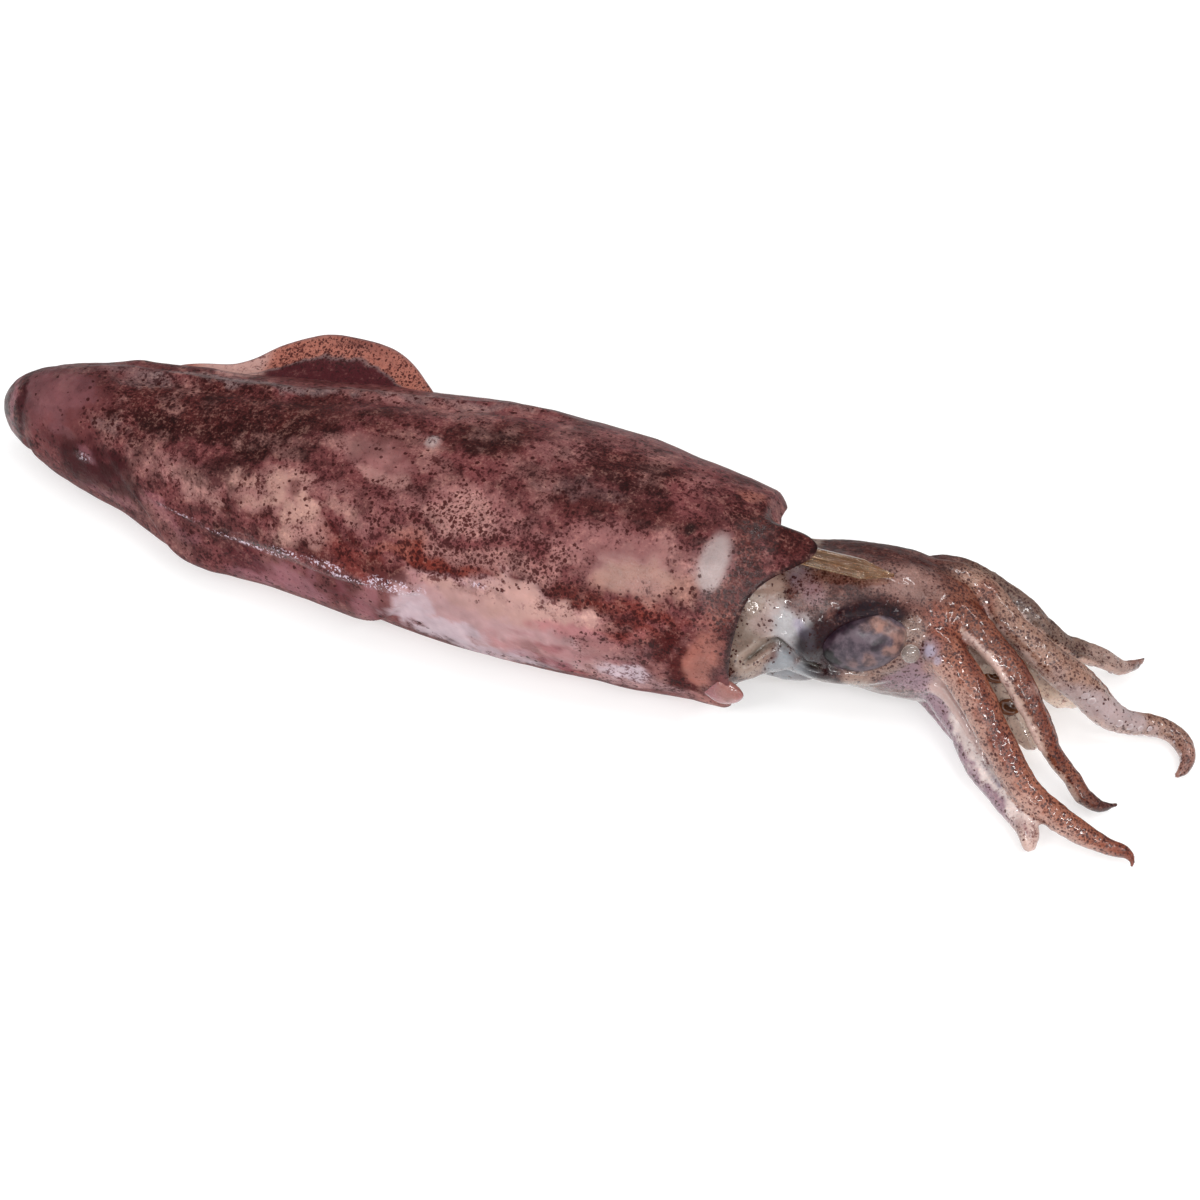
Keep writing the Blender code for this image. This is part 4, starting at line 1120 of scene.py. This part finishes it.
def limb_mesh(name, points):
    """A tapering limb with round ends, swept along its centre line."""
    length, at, values, ahead = route(points, LIMB_STEPS)
    data = new_ball(name, LIMB_SIDES, max(16, int(length * 1.1)))
    along, around = ball_angles(data)
    start, end = values[0, 3], values[-1, 3]
    travel = -start + (length + start + end) * along
    inner = np.clip(travel, 0.0, length)
    spot = np.stack([np.interp(inner, at, values[:, k]) for k in range(3)], axis=-1)
    thick = np.interp(inner, at, values[:, 3])
    forward = np.stack([np.interp(inner, at, ahead[:, k]) for k in range(3)], axis=-1)
    forward /= np.linalg.norm(forward, axis=1)[:, None]
    past = travel - inner
    thick = thick * np.sqrt(np.clip(1.0 - (past / np.maximum(thick, 1e-6)) ** 2, 0.0, 1.0))
    sideways = np.cross(forward, (0.0, 0.0, 1.0))
    sideways /= np.linalg.norm(sideways, axis=1)[:, None]
    upward = np.cross(sideways, forward)
    turn = np.radians(around)
    spot = spot + forward * past[:, None] + sideways * (thick * np.cos(turn))[:, None]
    write_points(data, spot + upward * (thick * np.sin(turn))[:, None])
    turn_outward(data)
    return data


def head_ball():
    """The head without its arms, from the neck inside the mantle to the crown between the arms."""
    data = new_ball("head_core", *HEAD_GRID)
    along, around = ball_angles(data)
    table = np.asarray(HEAD_STATIONS, float)
    start, end = table[0, 0], table[-1, 0]
    span = end - start + HEAD_BACK_CAP + HEAD_FRONT_CAP
    travel = start - HEAD_BACK_CAP + span * (1.0 - np.cos(np.pi * along)) / 2
    values = smooth_curve(table, np.clip(travel, start, end))
    past = np.where(travel > end, (travel - end) / HEAD_FRONT_CAP, 0.0)
    past = np.where(travel < start, (start - travel) / HEAD_BACK_CAP, past)
    shrink = np.sqrt(np.clip(1.0 - past**2, 0.0, 1.0))
    turn, roll = np.radians(around), math.radians(HEAD_ROLL)
    across = values[:, 2] * shrink * np.cos(turn)
    depth = values[:, 3] * shrink * np.sin(turn)
    y = values[:, 0] - across * math.cos(roll) + depth * math.sin(roll)
    z = values[:, 1] + across * math.sin(roll) + depth * math.cos(roll)
    write_points(data, np.stack([travel, y, z], axis=-1))
    turn_outward(data)
    return data


def keep_largest_body(data):
    """Drop the small closed shells that fusing leaves inside or beside the body."""
    shell = bmesh.new()
    shell.from_mesh(data)
    unseen = set(shell.verts)
    bodies = []
    while unseen:
        start = unseen.pop()
        body, queue = {start}, [start]
        while queue:
            for edge in queue.pop().link_edges:
                for vertex in edge.verts:
                    if vertex in unseen:
                        unseen.discard(vertex)
                        body.add(vertex)
                        queue.append(vertex)
        bodies.append(body)
    largest = max(bodies, key=len)
    scraps = [vertex for vertex in shell.verts if vertex not in largest]
    bmesh.ops.delete(shell, geom=scraps, context="VERTS")
    shell.to_mesh(data)
    shell.free()


def fuse_head():
    """Fuse head, arms, tentacles, funnel and folds into one smooth body."""
    pieces = [head_ball(), limb_mesh("funnel", FUNNEL)]
    pieces += [limb_mesh(name, points) for name, points in (*ARMS.items(), *FOLDS.items())]
    rough = add_object("rough_head", join_meshes("rough_head", pieces))
    fuse = rough.modifiers.new("fuse", "REMESH")
    fuse.mode = "VOXEL"
    fuse.voxel_size = HEAD_VOXEL * MM
    soften = rough.modifiers.new("soften", "SMOOTH")
    soften.factor = 0.5
    soften.iterations = 4
    view = bpy.context.evaluated_depsgraph_get()
    data = bpy.data.meshes.new_from_object(rough.evaluated_get(view))
    bpy.data.objects.remove(rough, do_unlink=True)
    keep_largest_body(data)
    data.name = "head_skin"
    return data


def vertex_normals(data):
    """The outward direction at each vertex."""
    flat = np.empty(len(data.vertices) * 3)
    data.vertex_normals.foreach_get("vector", flat)
    return flat.reshape(-1, 3)


def eye_frame(side):
    """Turned frame at an eye in millimetres: side +1 is the near eye and -1 the far one."""
    values = smooth_curve(HEAD_STATIONS, EYE_STATION)
    roll = math.radians(EYE_ROLL)
    outward = Vector((0.0, -math.cos(roll), math.sin(roll))) * side
    centre = Vector((EYE_STATION, values[0], values[1])) + outward * (values[2] - EYE_SINK)
    forward = Vector((1.0, 0.0, 0.0))
    turned = Matrix((forward, outward.cross(forward), outward)).transposed().to_4x4()
    return Matrix.Translation(centre) @ turned @ Matrix.Rotation(math.radians(EYE_TILT * side), 4, "Z")


def eye_ratio(points, side):
    """How far each point lies from an eye's axis, 1 at the eyeball's rim, and its height along the axis."""
    inverse = np.array(eye_frame(side).inverted())
    local = points @ inverse[:3, :3].T + inverse[:3, 3]
    around = np.hypot(local[:, 0] / EYE_SIZE[0], local[:, 1] / EYE_SIZE[1])
    return around, local


def head_relief(points):
    """Lids round both eyes, folds of the neck and soft unevenness, in millimetres."""
    lift = 0.25 * cloud(points, 7.0, 2, 31) + 0.10 * cloud(points, 2.2, 2, 33)
    lift = lift + 0.12 * cloud(points, 1.3, 1, 35) * ramp(points[:, 0], 250.0, 262.0)
    for side in (1, -1):
        around, local = eye_ratio(points, side)
        outer = ramp(local[:, 2], -1.0, 2.0)
        lift = lift + outer * (0.6 * bump(around, 1.12, 0.20) - 1.6 * (1.0 - ramp(around, 0.66, 0.94)))
    crease = polyline_gap(points, FUNNEL_CREASE)
    fold = polyline_gap(points, NECK_FOLD)
    lift = lift - 1.3 * bump(crease, 0.0, 1.0) + 0.5 * bump(crease, 2.0, 1.2) - 0.7 * bump(fold, 0.0, 0.8)
    return lift


def nearest_limb(points):
    """Index of the limb each vertex belongs to, its share of the length and its way out from the middle."""
    count = len(points)
    best = np.full(count, 1e9)
    limb = np.zeros(count, int)
    share = np.zeros(count)
    offset = np.zeros((count, 3))
    for index, path in enumerate(LIMB_PATHS.values()):
        _, at, values, _ = route(path, NEAREST_STEPS)
        for begin in range(0, count, BLOCK_ROWS):
            block = slice(begin, begin + BLOCK_ROWS)
            away = points[block, None, :] - values[None, :, :3]
            gap = np.linalg.norm(away, axis=2) / np.maximum(values[None, :, 3], 0.4)
            closest = gap.argmin(axis=1)
            rows = np.arange(len(closest))
            value = gap[rows, closest]
            better = value < best[block]
            best[block] = np.where(better, value, best[block])
            limb[block] = np.where(better, index, limb[block])
            share[block] = np.where(better, at[closest] / at[-1], share[block])
            offset[block] = np.where(better[:, None], away[rows, closest], offset[block])
    offset /= np.maximum(np.linalg.norm(offset, axis=1), 1e-6)[:, None]
    return limb, share, offset


def paint_limbs(points, limb, share, offset, tone, dots):
    """Give each arm its outer, inner and tip colours and its spots."""
    ragged = 0.25 * cloud(points, 3.0, 3, 41)
    for index, name in enumerate(LIMB_PATHS):
        outer, inner, tip, facing, split, outer_dots, inner_dots = LIMB_PAINTS[name]
        mine = limb == index
        facing = np.array(facing) / np.linalg.norm(facing)
        front = ramp(offset[mine] @ facing + ragged[mine], split - 0.15, split + 0.15)
        colour = tint(inner) + (tint(outer) - tint(inner)) * front[:, None]
        end = ramp(share[mine], 0.8, 0.98)[:, None]
        colour = colour + (tint(tip) - colour) * end
        blend = ramp(points[mine, 0], 249.0, 261.0)[:, None]
        tone[mine] += (colour - tone[mine]) * blend
        spots = inner_dots + (outer_dots - inner_dots) * front
        dots[mine] += (spots - dots[mine]) * blend[:, 0]
    return tone, dots


def paint_head(points):
    """Tone, dots and grain of the head's skin for each vertex."""
    ragged = 0.30 * cloud(points, 5.0, 4, 51)
    limb, share, offset = nearest_limb(points)
    tone = plain_tone("head_brown", len(points))
    dots = np.full(len(points), HEAD_BASE["dots"])
    tone, dots = paint_limbs(points, limb, share, offset, tone, dots)
    grains = np.full(len(points), HEAD_BASE["grain"])
    for paint, spot_level, grain_level, blobs in HEAD_BLOBS:
        for blob in blobs:
            weight = blob_weight(points, blob, ragged)
            tone = smear(tone, weight, paint)
            dots = dots + (spot_level - dots) * weight
            grains = grains + (grain_level - grains) * weight
    around, local = eye_ratio(points, 1)
    lid = ramp(local[:, 2], -3.0, 0.0) * (1.0 - ramp(around + 0.5 * ragged, 1.25, 1.7))
    upper = ramp(local[:, 1], -2.5, 1.5) + ramp(-local[:, 0], 6.0, 9.0)
    tone = smear(tone, 0.9 * lid * np.clip(upper, 0.0, 1.0), "lid_black")
    lower = ramp(0.5 * local[:, 0] - local[:, 1], 1.5, 4.5)
    lower = lower * (1.0 - ramp(around, 1.2, 1.45)) * ramp(local[:, 2], -4.0, -1.0)
    tone = smear(tone, 0.75 * lower * (1.0 - ramp(-local[:, 0], 6.0, 9.0)), "lid_pale")
    for paint, width, strength, path in HEAD_SEAMS:
        tone = smear(tone, strength * bump(polyline_gap(points, path), 0.0, width), paint)
    shade = 1.0 + 0.12 * cloud(points, 6.0, 2, 53) + 0.08 * cloud(points, 2.0, 2, 55)
    return HEAD_GAIN * tone * shade[:, None], dots, grains


def add_head():
    """Head, arms, tentacles and funnel as one skin."""
    data = fuse_head()
    points = read_points(data) / MM + np.array(ORIGIN)
    outward = vertex_normals(data)
    moved = points + outward * head_relief(points)[:, None]
    moved[:, 2] = np.maximum(moved[:, 2], 0.0)
    write_points(data, moved)
    around, local = eye_ratio(points, 1)
    lid = (1.0 - ramp(around, 1.3, 1.7)) * ramp(local[:, 1], -1.0, 3.0)
    wet = 0.85 - 0.75 * np.maximum(ramp(outward[:, 1], 0.0, 0.5), 0.7 * lid)
    store_skin(data, *paint_head(points), painted_glints=0.0, wet=wet)
    material = skin_material("head_wet_skin", shine=0.25, speck=1250.0, film=0.9)
    head = add_piece("head_skin", data, material)
    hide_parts("head")


def add_eyes():
    """Both eyeballs, half hidden by their lids."""
    for name, side in (("near_eye", 1), ("far_eye", -1)):
        data = new_ball(name, *EYE_GRID)
        spots = read_points(data) * np.array(EYE_SIZE)
        turned = np.array(eye_frame(side))
        points = spots @ turned[:3, :3].T + turned[:3, 3]
        uneven = 0.15 * cloud(points, 3.0, 2, 61)[:, None] * (spots / np.array(EYE_SIZE))
        points = points + uneven @ turned[:3, :3].T
        write_points(data, points)
        turn_outward(data)
        store(data, "tone", paint_eye(spots))
        eye = add_piece(name, data, eye_material(name))
        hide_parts("eye_near" if side == 1 else "eye_far")


def paint_eye(spots):
    """Cloudy blue-grey eye with coppery patches and a dark corner, from places in the eye's own frame."""
    ragged = 0.4 * cloud(spots, 2.0, 4, 63)
    tone = plain_tone("eye_grey", len(spots))
    for paint, blobs in EYE_BLOBS:
        for blob in blobs:
            tone = smear(tone, blob_weight(spots, blob, ragged), paint)
    return tone


def add_rim_flap():
    """The small curled lobe of skin at the near lower corner of the mantle's mouth."""
    data = new_ball("rim_flap", *FLAP_GRID)
    spots = read_points(data)[:, [2, 0, 1]]
    inward = ramp(-spots[:, 0], -0.3, 0.7)
    spots[:, 0] *= 1.0 - 0.65 * ramp(spots[:, 2], -0.2, 0.9)
    points = spots * np.array(FLAP_SIZE)
    tilt = math.radians(FLAP_TILT)
    along = points[:, 0] * math.cos(tilt) - points[:, 2] * math.sin(tilt)
    upward = points[:, 0] * math.sin(tilt) + points[:, 2] * math.cos(tilt)
    points = np.stack([along, points[:, 1], upward], axis=-1) + np.array(FLAP_PLACE)
    points[:, 1] += 0.25 * cloud(points, 3.0, 2, 71)
    write_points(data, points)
    turn_outward(data)
    tone = plain_tone("lobe", len(points))
    patchy = 0.4 * cloud(points, 3.0, 3, 73)
    tone = smear(tone, 0.8 * ramp(patchy - spots[:, 2], -0.1, 0.6), "pinkish")
    tone = smear(tone, 0.75 * inward, "wine")
    store_skin(data, tone, dots=0.02, grain=0.3, painted_glints=0.0, wet=0.9)
    material = skin_material("rim_flap_skin", shine=0.4, speck=900.0, film=0.8)
    add_piece("rim_flap", data, material)


def add_pen():
    """The clear pen's blade with its raised middle rib and edges."""
    strip = bmesh.new()
    bmesh.ops.create_cube(strip, size=1.0)
    lengthwise = [edge for edge in strip.edges if abs((edge.verts[0].co - edge.verts[1].co).x) > 0.5]
    bmesh.ops.subdivide_edges(strip, edges=lengthwise, cuts=60, use_grid_fill=True)
    crosswise = [edge for edge in strip.edges if abs((edge.verts[0].co - edge.verts[1].co).y) > 0.5]
    bmesh.ops.subdivide_edges(strip, edges=crosswise, cuts=24, use_grid_fill=True)
    data = finish_mesh("pen_blade", strip)
    spots = read_points(data)
    back, front = np.array(PEN_BACK), np.array(PEN_FRONT)
    length = np.linalg.norm(front - back)
    ahead = (front - back) / length
    sideways = np.cross((0.0, 0.0, 1.0), ahead)
    sideways /= np.linalg.norm(sideways)
    upward = np.cross(ahead, sideways)
    along = (spots[:, 0] + 0.5) * length
    narrow = np.minimum(1.0, (length - along) / PEN_POINT + 0.06)
    across = 2.0 * spots[:, 1]
    ribs = 0.35 * bump(across, 0.0, 0.12) + 0.25 * bump(np.abs(across), 0.72, 0.08)
    thick = (PEN_THICKNESS * 0.45) * (1.0 - 0.6 * across**4) + ribs * narrow
    height = np.where(spots[:, 2] > 0, thick, -0.4 * thick) + 0.5 * (1.0 - across**2) - 0.4
    points = back + along[:, None] * ahead + (PEN_HALF_WIDTH * narrow * across)[:, None] * sideways
    write_points(data, points + height[:, None] * upward)
    turn_outward(data)
    pen = add_piece("pen_blade", data, horn_material())
    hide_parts("pen")


def ring_points(points, centre, normal, radius):
    """A unit ball's points squeezed to a button that stands on the skin."""
    normal = Vector(normal).normalized()
    turned = np.array(normal.to_track_quat("Z", "Y").to_matrix())
    return points * np.asarray(radius) @ turned.T + np.asarray(centre, float)


def sucker_mesh(centre, normal, radius, depth):
    """One sucker: a raised button with a hollow middle."""
    data = new_ball("sucker", *SUCKER_GRID)
    spots = read_points(data)
    away = np.hypot(spots[:, 0], spots[:, 1])
    dish = np.where(spots[:, 2] > 0, 1.0 - depth * (1.0 - ramp(away, 0.2, 0.6)), 1.0)
    spots[:, 2] *= dish * 0.7
    write_points(data, ring_points(spots, centre, normal, radius))
    turn_outward(data)
    store(data, "hollow", np.where(spots[:, 2] > 0, 1.0 - ramp(away, 0.35, 0.7), 0.0))
    return data


def sucker_rows(path, first, last, count, facing, size):
    """Two rows of suckers along a limb, on the side that faces a direction, shrinking to the tip."""
    _, _, values, ahead = route(path, SUCKER_STEPS)
    pieces = []
    for index in range(count):
        share = first + (last - first) * (index + 0.5) / count
        row = int(share * (SUCKER_STEPS - 1))
        forward = ahead[row]
        out = np.array(facing, float) - np.dot(facing, forward) * forward
        out /= np.linalg.norm(out)
        side = np.cross(forward, out) * (1.0 if index % 2 else -1.0)
        normal = out * 0.86 + side * 0.5
        normal /= np.linalg.norm(normal)
        radius = size * (1.0 - 0.4 * (share - first) / (1.0 - first)) * (1.0 + 0.22 * math.sin(2.4 * index))
        radius = min(radius, 0.6 * values[row, 3])
        centre = values[row, :3] + normal * (values[row, 3] - 0.5 * radius)
        if centre[2] > radius + 0.2:
            pieces.append(sucker_mesh(centre, normal, (radius, 0.85 * radius, 0.8 * radius), 0.12))
    return pieces


def add_suckers():
    """The suckers that show between the arms and the smaller ones under them."""
    pale, ringed = [], []
    for name, first, last, count, facing, size in SUCKER_ROWS:
        pale += sucker_rows(ARMS[name], first, last, count, facing, size)
    for centre, normal, radius in RINGED_SUCKERS:
        ringed.append(sucker_mesh(centre, normal, radius, 0.75))
    for name, pieces, ring, hollow in (
        ("arm_suckers", pale, "sucker_white", "sucker_grey"),
        ("club_suckers", ringed, "sucker_ring", "sucker_brown"),
    ):
        data = join_meshes(name, pieces)
        add_piece(name, data, sucker_material(name, ring, hollow))


def add_drop():
    """The clear bead of water beside the near eye."""
    data = new_ball("water_bead", *BEAD_GRID)
    spots = read_points(data)
    write_points(data, ring_points(spots, BEAD_PLACE, BEAD_FACING, BEAD_SIZE))
    turn_outward(data)
    add_piece("water_bead", data, water_material())


# Materials


class Tree:
    """A small helper that adds and joins shader nodes."""

    def __init__(self, name):
        self.material = bpy.data.materials.new(name)
        self.material.use_nodes = True
        self.nodes = self.material.node_tree.nodes
        self.links = self.material.node_tree.links
        self.shader = self.nodes["Principled BSDF"]

    def join(self, target, value):
        """Link an output to a socket, or set the socket."""
        if isinstance(value, bpy.types.NodeSocket):
            self.links.new(value, target)
        else:
            target.default_value = value

    def add(self, kind, inputs=(), **settings):
        """Add a node with its settings and inputs."""
        node = self.nodes.new(kind)
        for name, value in settings.items():
            setattr(node, name, value)
        for name, value in dict(inputs).items():
            self.join(node.inputs[name], value)
        return node

    def math(self, operation, first, second=0.0, third=0.0):
        """A math node's value."""
        node = self.add("ShaderNodeMath", {0: first, 1: second, 2: third}, operation=operation)
        return node.outputs[0]

    def vector_math(self, operation, first, second):
        """A vector math node's value."""
        return self.add("ShaderNodeVectorMath", {0: first, 1: second}, operation=operation).outputs[0]

    def paint(self, value):
        """Give the main shader its colour."""
        self.join(self.shader.inputs["Base Color"], value)

    def span(self, value, low, high, start=0.0, end=1.0):
        """Map a range smoothly onto another."""
        node = self.add("ShaderNodeMapRange", {0: value, 1: low, 2: high, 3: start, 4: end},
                        interpolation_type="SMOOTHSTEP")
        return node.outputs[0]

    def blend(self, share, first, second, mode="MIX"):
        """Mix two colours."""
        node = self.add("ShaderNodeMix", {0: share, 6: first, 7: second}, data_type="RGBA", blend_type=mode)
        return node.outputs[2]

    def place(self):
        """Object coordinates."""
        return self.add("ShaderNodeTexCoord").outputs["Object"]

    def cloud(self, where, scale, detail=3.0, roughness=0.55):
        """Noise in object coordinates; scale is features to the metre."""
        inputs = {"Vector": where, "Scale": scale, "Detail": detail, "Roughness": roughness}
        return self.add("ShaderNodeTexNoise", inputs).outputs[0]

    def layer(self, name):
        """A stored vertex attribute."""
        return self.add("ShaderNodeAttribute", attribute_name=name)

    def bumps(self, height, distance, strength=1.0, socket="Normal"):
        """Let a height field stand out of the surface, or of the clear film by the socket Coat Normal."""
        node = self.add("ShaderNodeBump", {"Height": height, "Distance": distance, "Strength": strength})
        self.join(self.shader.inputs[socket], node.outputs[0])

    def set(self, **values):
        """Constant values of the main shader, its names written with underscores."""
        for name, value in values.items():
            self.shader.inputs[name.replace("_", " ")].default_value = value


def dot_field(tree, where, scale, size):
    """Round spots of uneven size: 1 in a spot, 0 outside, and each spot's own chance."""
    cells = tree.add("ShaderNodeTexVoronoi", {"Vector": where, "Scale": scale, "Randomness": 1.0})
    chance = tree.add("ShaderNodeSeparateColor", {0: cells.outputs["Color"]})
    reach = tree.math("MULTIPLY_ADD", chance.outputs[0], size * 0.6, size * 0.5)
    edge = tree.math("SUBTRACT", reach, cells.outputs["Distance"])
    return tree.span(edge, -0.06, 0.08), chance.outputs[1]


def spotted(tree, colour, tone, dotted, where, speck):
    """Pigment spots of two sizes laid over a colour."""
    wobble = tree.add("ShaderNodeTexNoise", {"Vector": where, "Scale": 1400.0, "Detail": 1.0}).outputs[1]
    nudge = tree.vector_math("MULTIPLY", wobble, SPOT_WOBBLE)
    bent = tree.vector_math("ADD", where, nudge)
    big, big_chance = dot_field(tree, bent, speck, 0.5)
    small, small_chance = dot_field(tree, bent, 1.6 * speck, 0.46)
    big_here = tree.span(tree.math("SUBTRACT", dotted, big_chance), 0.0, 0.08)
    small_here = tree.span(tree.math("SUBTRACT", dotted, small_chance), 0.0, 0.2)
    shown_small = tree.math("MULTIPLY", tree.math("MULTIPLY", small, small_here), 0.75)
    shown = tree.math("MAXIMUM", tree.math("MULTIPLY", big, big_here), shown_small)
    dark = tree.blend(1.0, tone, UNDER_SPOT, "MULTIPLY")
    spot = tree.blend(0.5, dark, shader_tint("dot_brown"))
    return tree.blend(tree.math("MULTIPLY", shown, 0.94), colour, spot)


def skin_material(name, shine, speck, film):
    """Wet skin: stored tones broken up by grain and pigment spots, glossier where it is wetter."""
    tree = Tree(name)
    where = tree.place()
    tone = tree.layer("tone").outputs["Color"]
    dotted = tree.layer("dots").outputs["Fac"]
    grainy = tree.layer("grain").outputs["Fac"]
    glint_paint_share = tree.layer("painted_glints").outputs["Fac"]
    wet = tree.layer("wet").outputs["Fac"]
    fine = tree.cloud(where, 1500.0, 2.0, 0.65)
    middle = tree.cloud(where, 560.0, 3.0, 0.6)
    broad = tree.cloud(where, 210.0, 5.0, 0.62)
    swing = tree.math("MULTIPLY_ADD", fine, 2.4, -3.4)
    swing = tree.math("MULTIPLY_ADD", middle, 2.2, swing)
    swing = tree.math("MULTIPLY_ADD", broad, 2.2, swing)
    swing = tree.math("MULTIPLY", swing, grainy)
    darker = tree.blend(1.0, tone, DARK_GRAIN, "MULTIPLY")
    lifted = tree.blend(1.0, tone, PALE_GRAIN, "MULTIPLY")
    lighter = tree.blend(0.3, lifted, shader_tint("fleck"))
    colour = tree.blend(tree.span(swing, -0.02, -0.45), tone, darker)
    colour = tree.blend(tree.span(swing, 0.06, 0.6), colour, lighter)
    colour = spotted(tree, colour, tone, dotted, where, speck)
    # Painted highlight: white-lilac glint flecks where the painted-glint level is raised
    painted_highlight = tree.math("MULTIPLY", tree.span(fine, 0.53, 0.62), glint_paint_share)
    colour = tree.blend(painted_highlight, colour, shader_tint("painted_highlight"))
    tree.paint(colour)
    dry = tree.span(fine, 0.3, 0.7, 0.52, 0.68)
    glossy = tree.span(fine, 0.3, 0.7, 0.10, 0.24)
    rough = tree.add("ShaderNodeMix", {0: wet, 2: dry, 3: glossy}).outputs[0]
    tree.join(tree.shader.inputs["Roughness"], rough)
    tree.join(tree.shader.inputs["Specular IOR Level"], tree.span(wet, 0.1, 0.9, 0.3 * shine, shine))
    tree.join(tree.shader.inputs["Coat Weight"], tree.span(wet, 0.2, 0.8, 0.0, film))
    tree.set(Coat_Roughness=0.05, Coat_IOR=1.36, Subsurface_Weight=0.12,
             Subsurface_Radius=(1.0, 0.45, 0.35), Subsurface_Scale=0.0012)
    height = tree.math("MULTIPLY_ADD", fine, 0.3, middle)
    tree.bumps(height, 0.0006, 0.45)
    tree.bumps(tree.cloud(where, 200.0, 2.0, 0.5), 0.0012, 0.4, "Coat Normal")
    return tree.material


def eye_material(name):
    """Cloudy glossy eyeball."""
    tree = Tree(name + "_glass")
    where = tree.place()
    tone = tree.layer("tone").outputs["Color"]
    mist = tree.cloud(where, 500.0, 4.0, 0.6)
    darker = tree.blend(1.0, tone, EYE_MIST, "MULTIPLY")
    tree.paint(tree.blend(tree.span(mist, 0.62, 0.30), tone, darker))
    tree.set(Roughness=0.30, Specular_IOR_Level=0.35)
    tree.bumps(mist, 0.0003, 0.3)
    return tree.material


def horn_material():
    """Clear amber horn of the pen."""
    tree = Tree("pen_horn")
    where = tree.place()
    streak = tree.cloud(where, 300.0, 2.0)
    amber, pale = shader_tint("amber"), shader_tint("amber_pale")
    tree.paint(tree.blend(tree.span(streak, 0.4, 0.65), amber, pale))
    tree.set(Roughness=0.08, Transmission_Weight=0.9, IOR=1.35)
    return tree.material


def sucker_material(name, ring, hollow):
    """Waxy sucker with a darker cup."""
    tree = Tree(name + "_wax")
    cup = tree.layer("hollow").outputs["Fac"]
    rim, dark = shader_tint(ring), shader_tint(hollow)
    tree.paint(tree.blend(cup, rim, dark))
    tree.set(Roughness=0.25, Coat_Weight=0.7, Coat_Roughness=0.06,
             Subsurface_Weight=0.2, Subsurface_Radius=(1.0, 0.6, 0.5), Subsurface_Scale=0.001)
    return tree.material


def water_material():
    """Clear water."""
    tree = Tree("clear_water")
    tree.set(Base_Color=(0.55, 0.46, 0.42, 1.0), Roughness=0.02, Transmission_Weight=0.8, IOR=1.33,
             Coat_Weight=1.0, Coat_Roughness=0.02)
    return tree.material


# Stage


def add_stage():
    """Pale floor, soft light and the camera."""
    ground = bmesh.new()
    bmesh.ops.create_grid(ground, x_segments=1, y_segments=1, size=3.0)
    data = finish_mesh("floor", ground)
    tree = Tree("pale_floor")
    tree.set(Base_Color=(0.62, 0.62, 0.62, 1.0), Roughness=0.9, Emission_Color=(1.0, 1.0, 1.0, 1.0),
             Emission_Strength=FLOOR_GLOW, Specular_IOR_Level=0.0)
    data.materials.append(tree.material)
    floor = add_object("floor", data)

    world = bpy.data.worlds.new("studio")
    world.use_nodes = True
    glow = world.node_tree.nodes["Background"].inputs
    glow["Color"].default_value = (1.0, 1.0, 1.0, 1.0)
    glow["Strength"].default_value = WORLD_LIGHT
    bpy.context.scene.world = world
    add_sky()
    for name, spot, length, width, power in LAMPS:
        add_lamp(name, spot, length, width, power)
    bpy.context.scene.view_settings.view_transform = "Standard"
    add_camera()


def add_sky():
    """The broad soft light from above and a little in front."""
    lamp = bpy.data.lights.new("soft_top", "SUN")
    lamp.energy = SKY_POWER
    lamp.angle = math.radians(SKY_SPREAD)
    light = add_object("soft_top", lamp)
    light.rotation_euler = (math.radians(SKY_TURN[0]), 0.0, math.radians(SKY_TURN[1]))


def add_lamp(name, spot, length, width, power):
    """A level strip lamp that faces the squid."""
    lamp = bpy.data.lights.new(name, "AREA")
    lamp.energy = power
    lamp.shape = "RECTANGLE"
    lamp.size = length
    lamp.size_y = width
    light = add_object(name, lamp)
    light.location = spot
    light.rotation_euler = Vector(spot).to_track_quat("Z", "Y").to_euler()


def add_camera():
    """The photograph's viewing angle."""
    turn, rise = math.radians(CAMERA_AZIMUTH), math.radians(CAMERA_ELEVATION)
    back = Vector((math.sin(turn) * math.cos(rise), -math.cos(turn) * math.cos(rise), math.sin(rise)))
    lens = bpy.data.cameras.new("camera")
    lens.lens = CAMERA_LENS
    lens.sensor_width = 36.0
    camera = add_object("camera", lens)
    camera.location = Vector(place(CAMERA_AIM)) + back * CAMERA_DISTANCE * MM
    camera.rotation_euler = back.to_track_quat("Z", "Y").to_euler()
    bpy.context.scene.camera = camera


def main():
    """Build the stage and every piece."""
    add_stage()
    add_mantle()
    add_far_fin()
    add_rim_flap()
    add_head()
    add_eyes()
    add_pen()
    add_suckers()
    add_drop()


main()
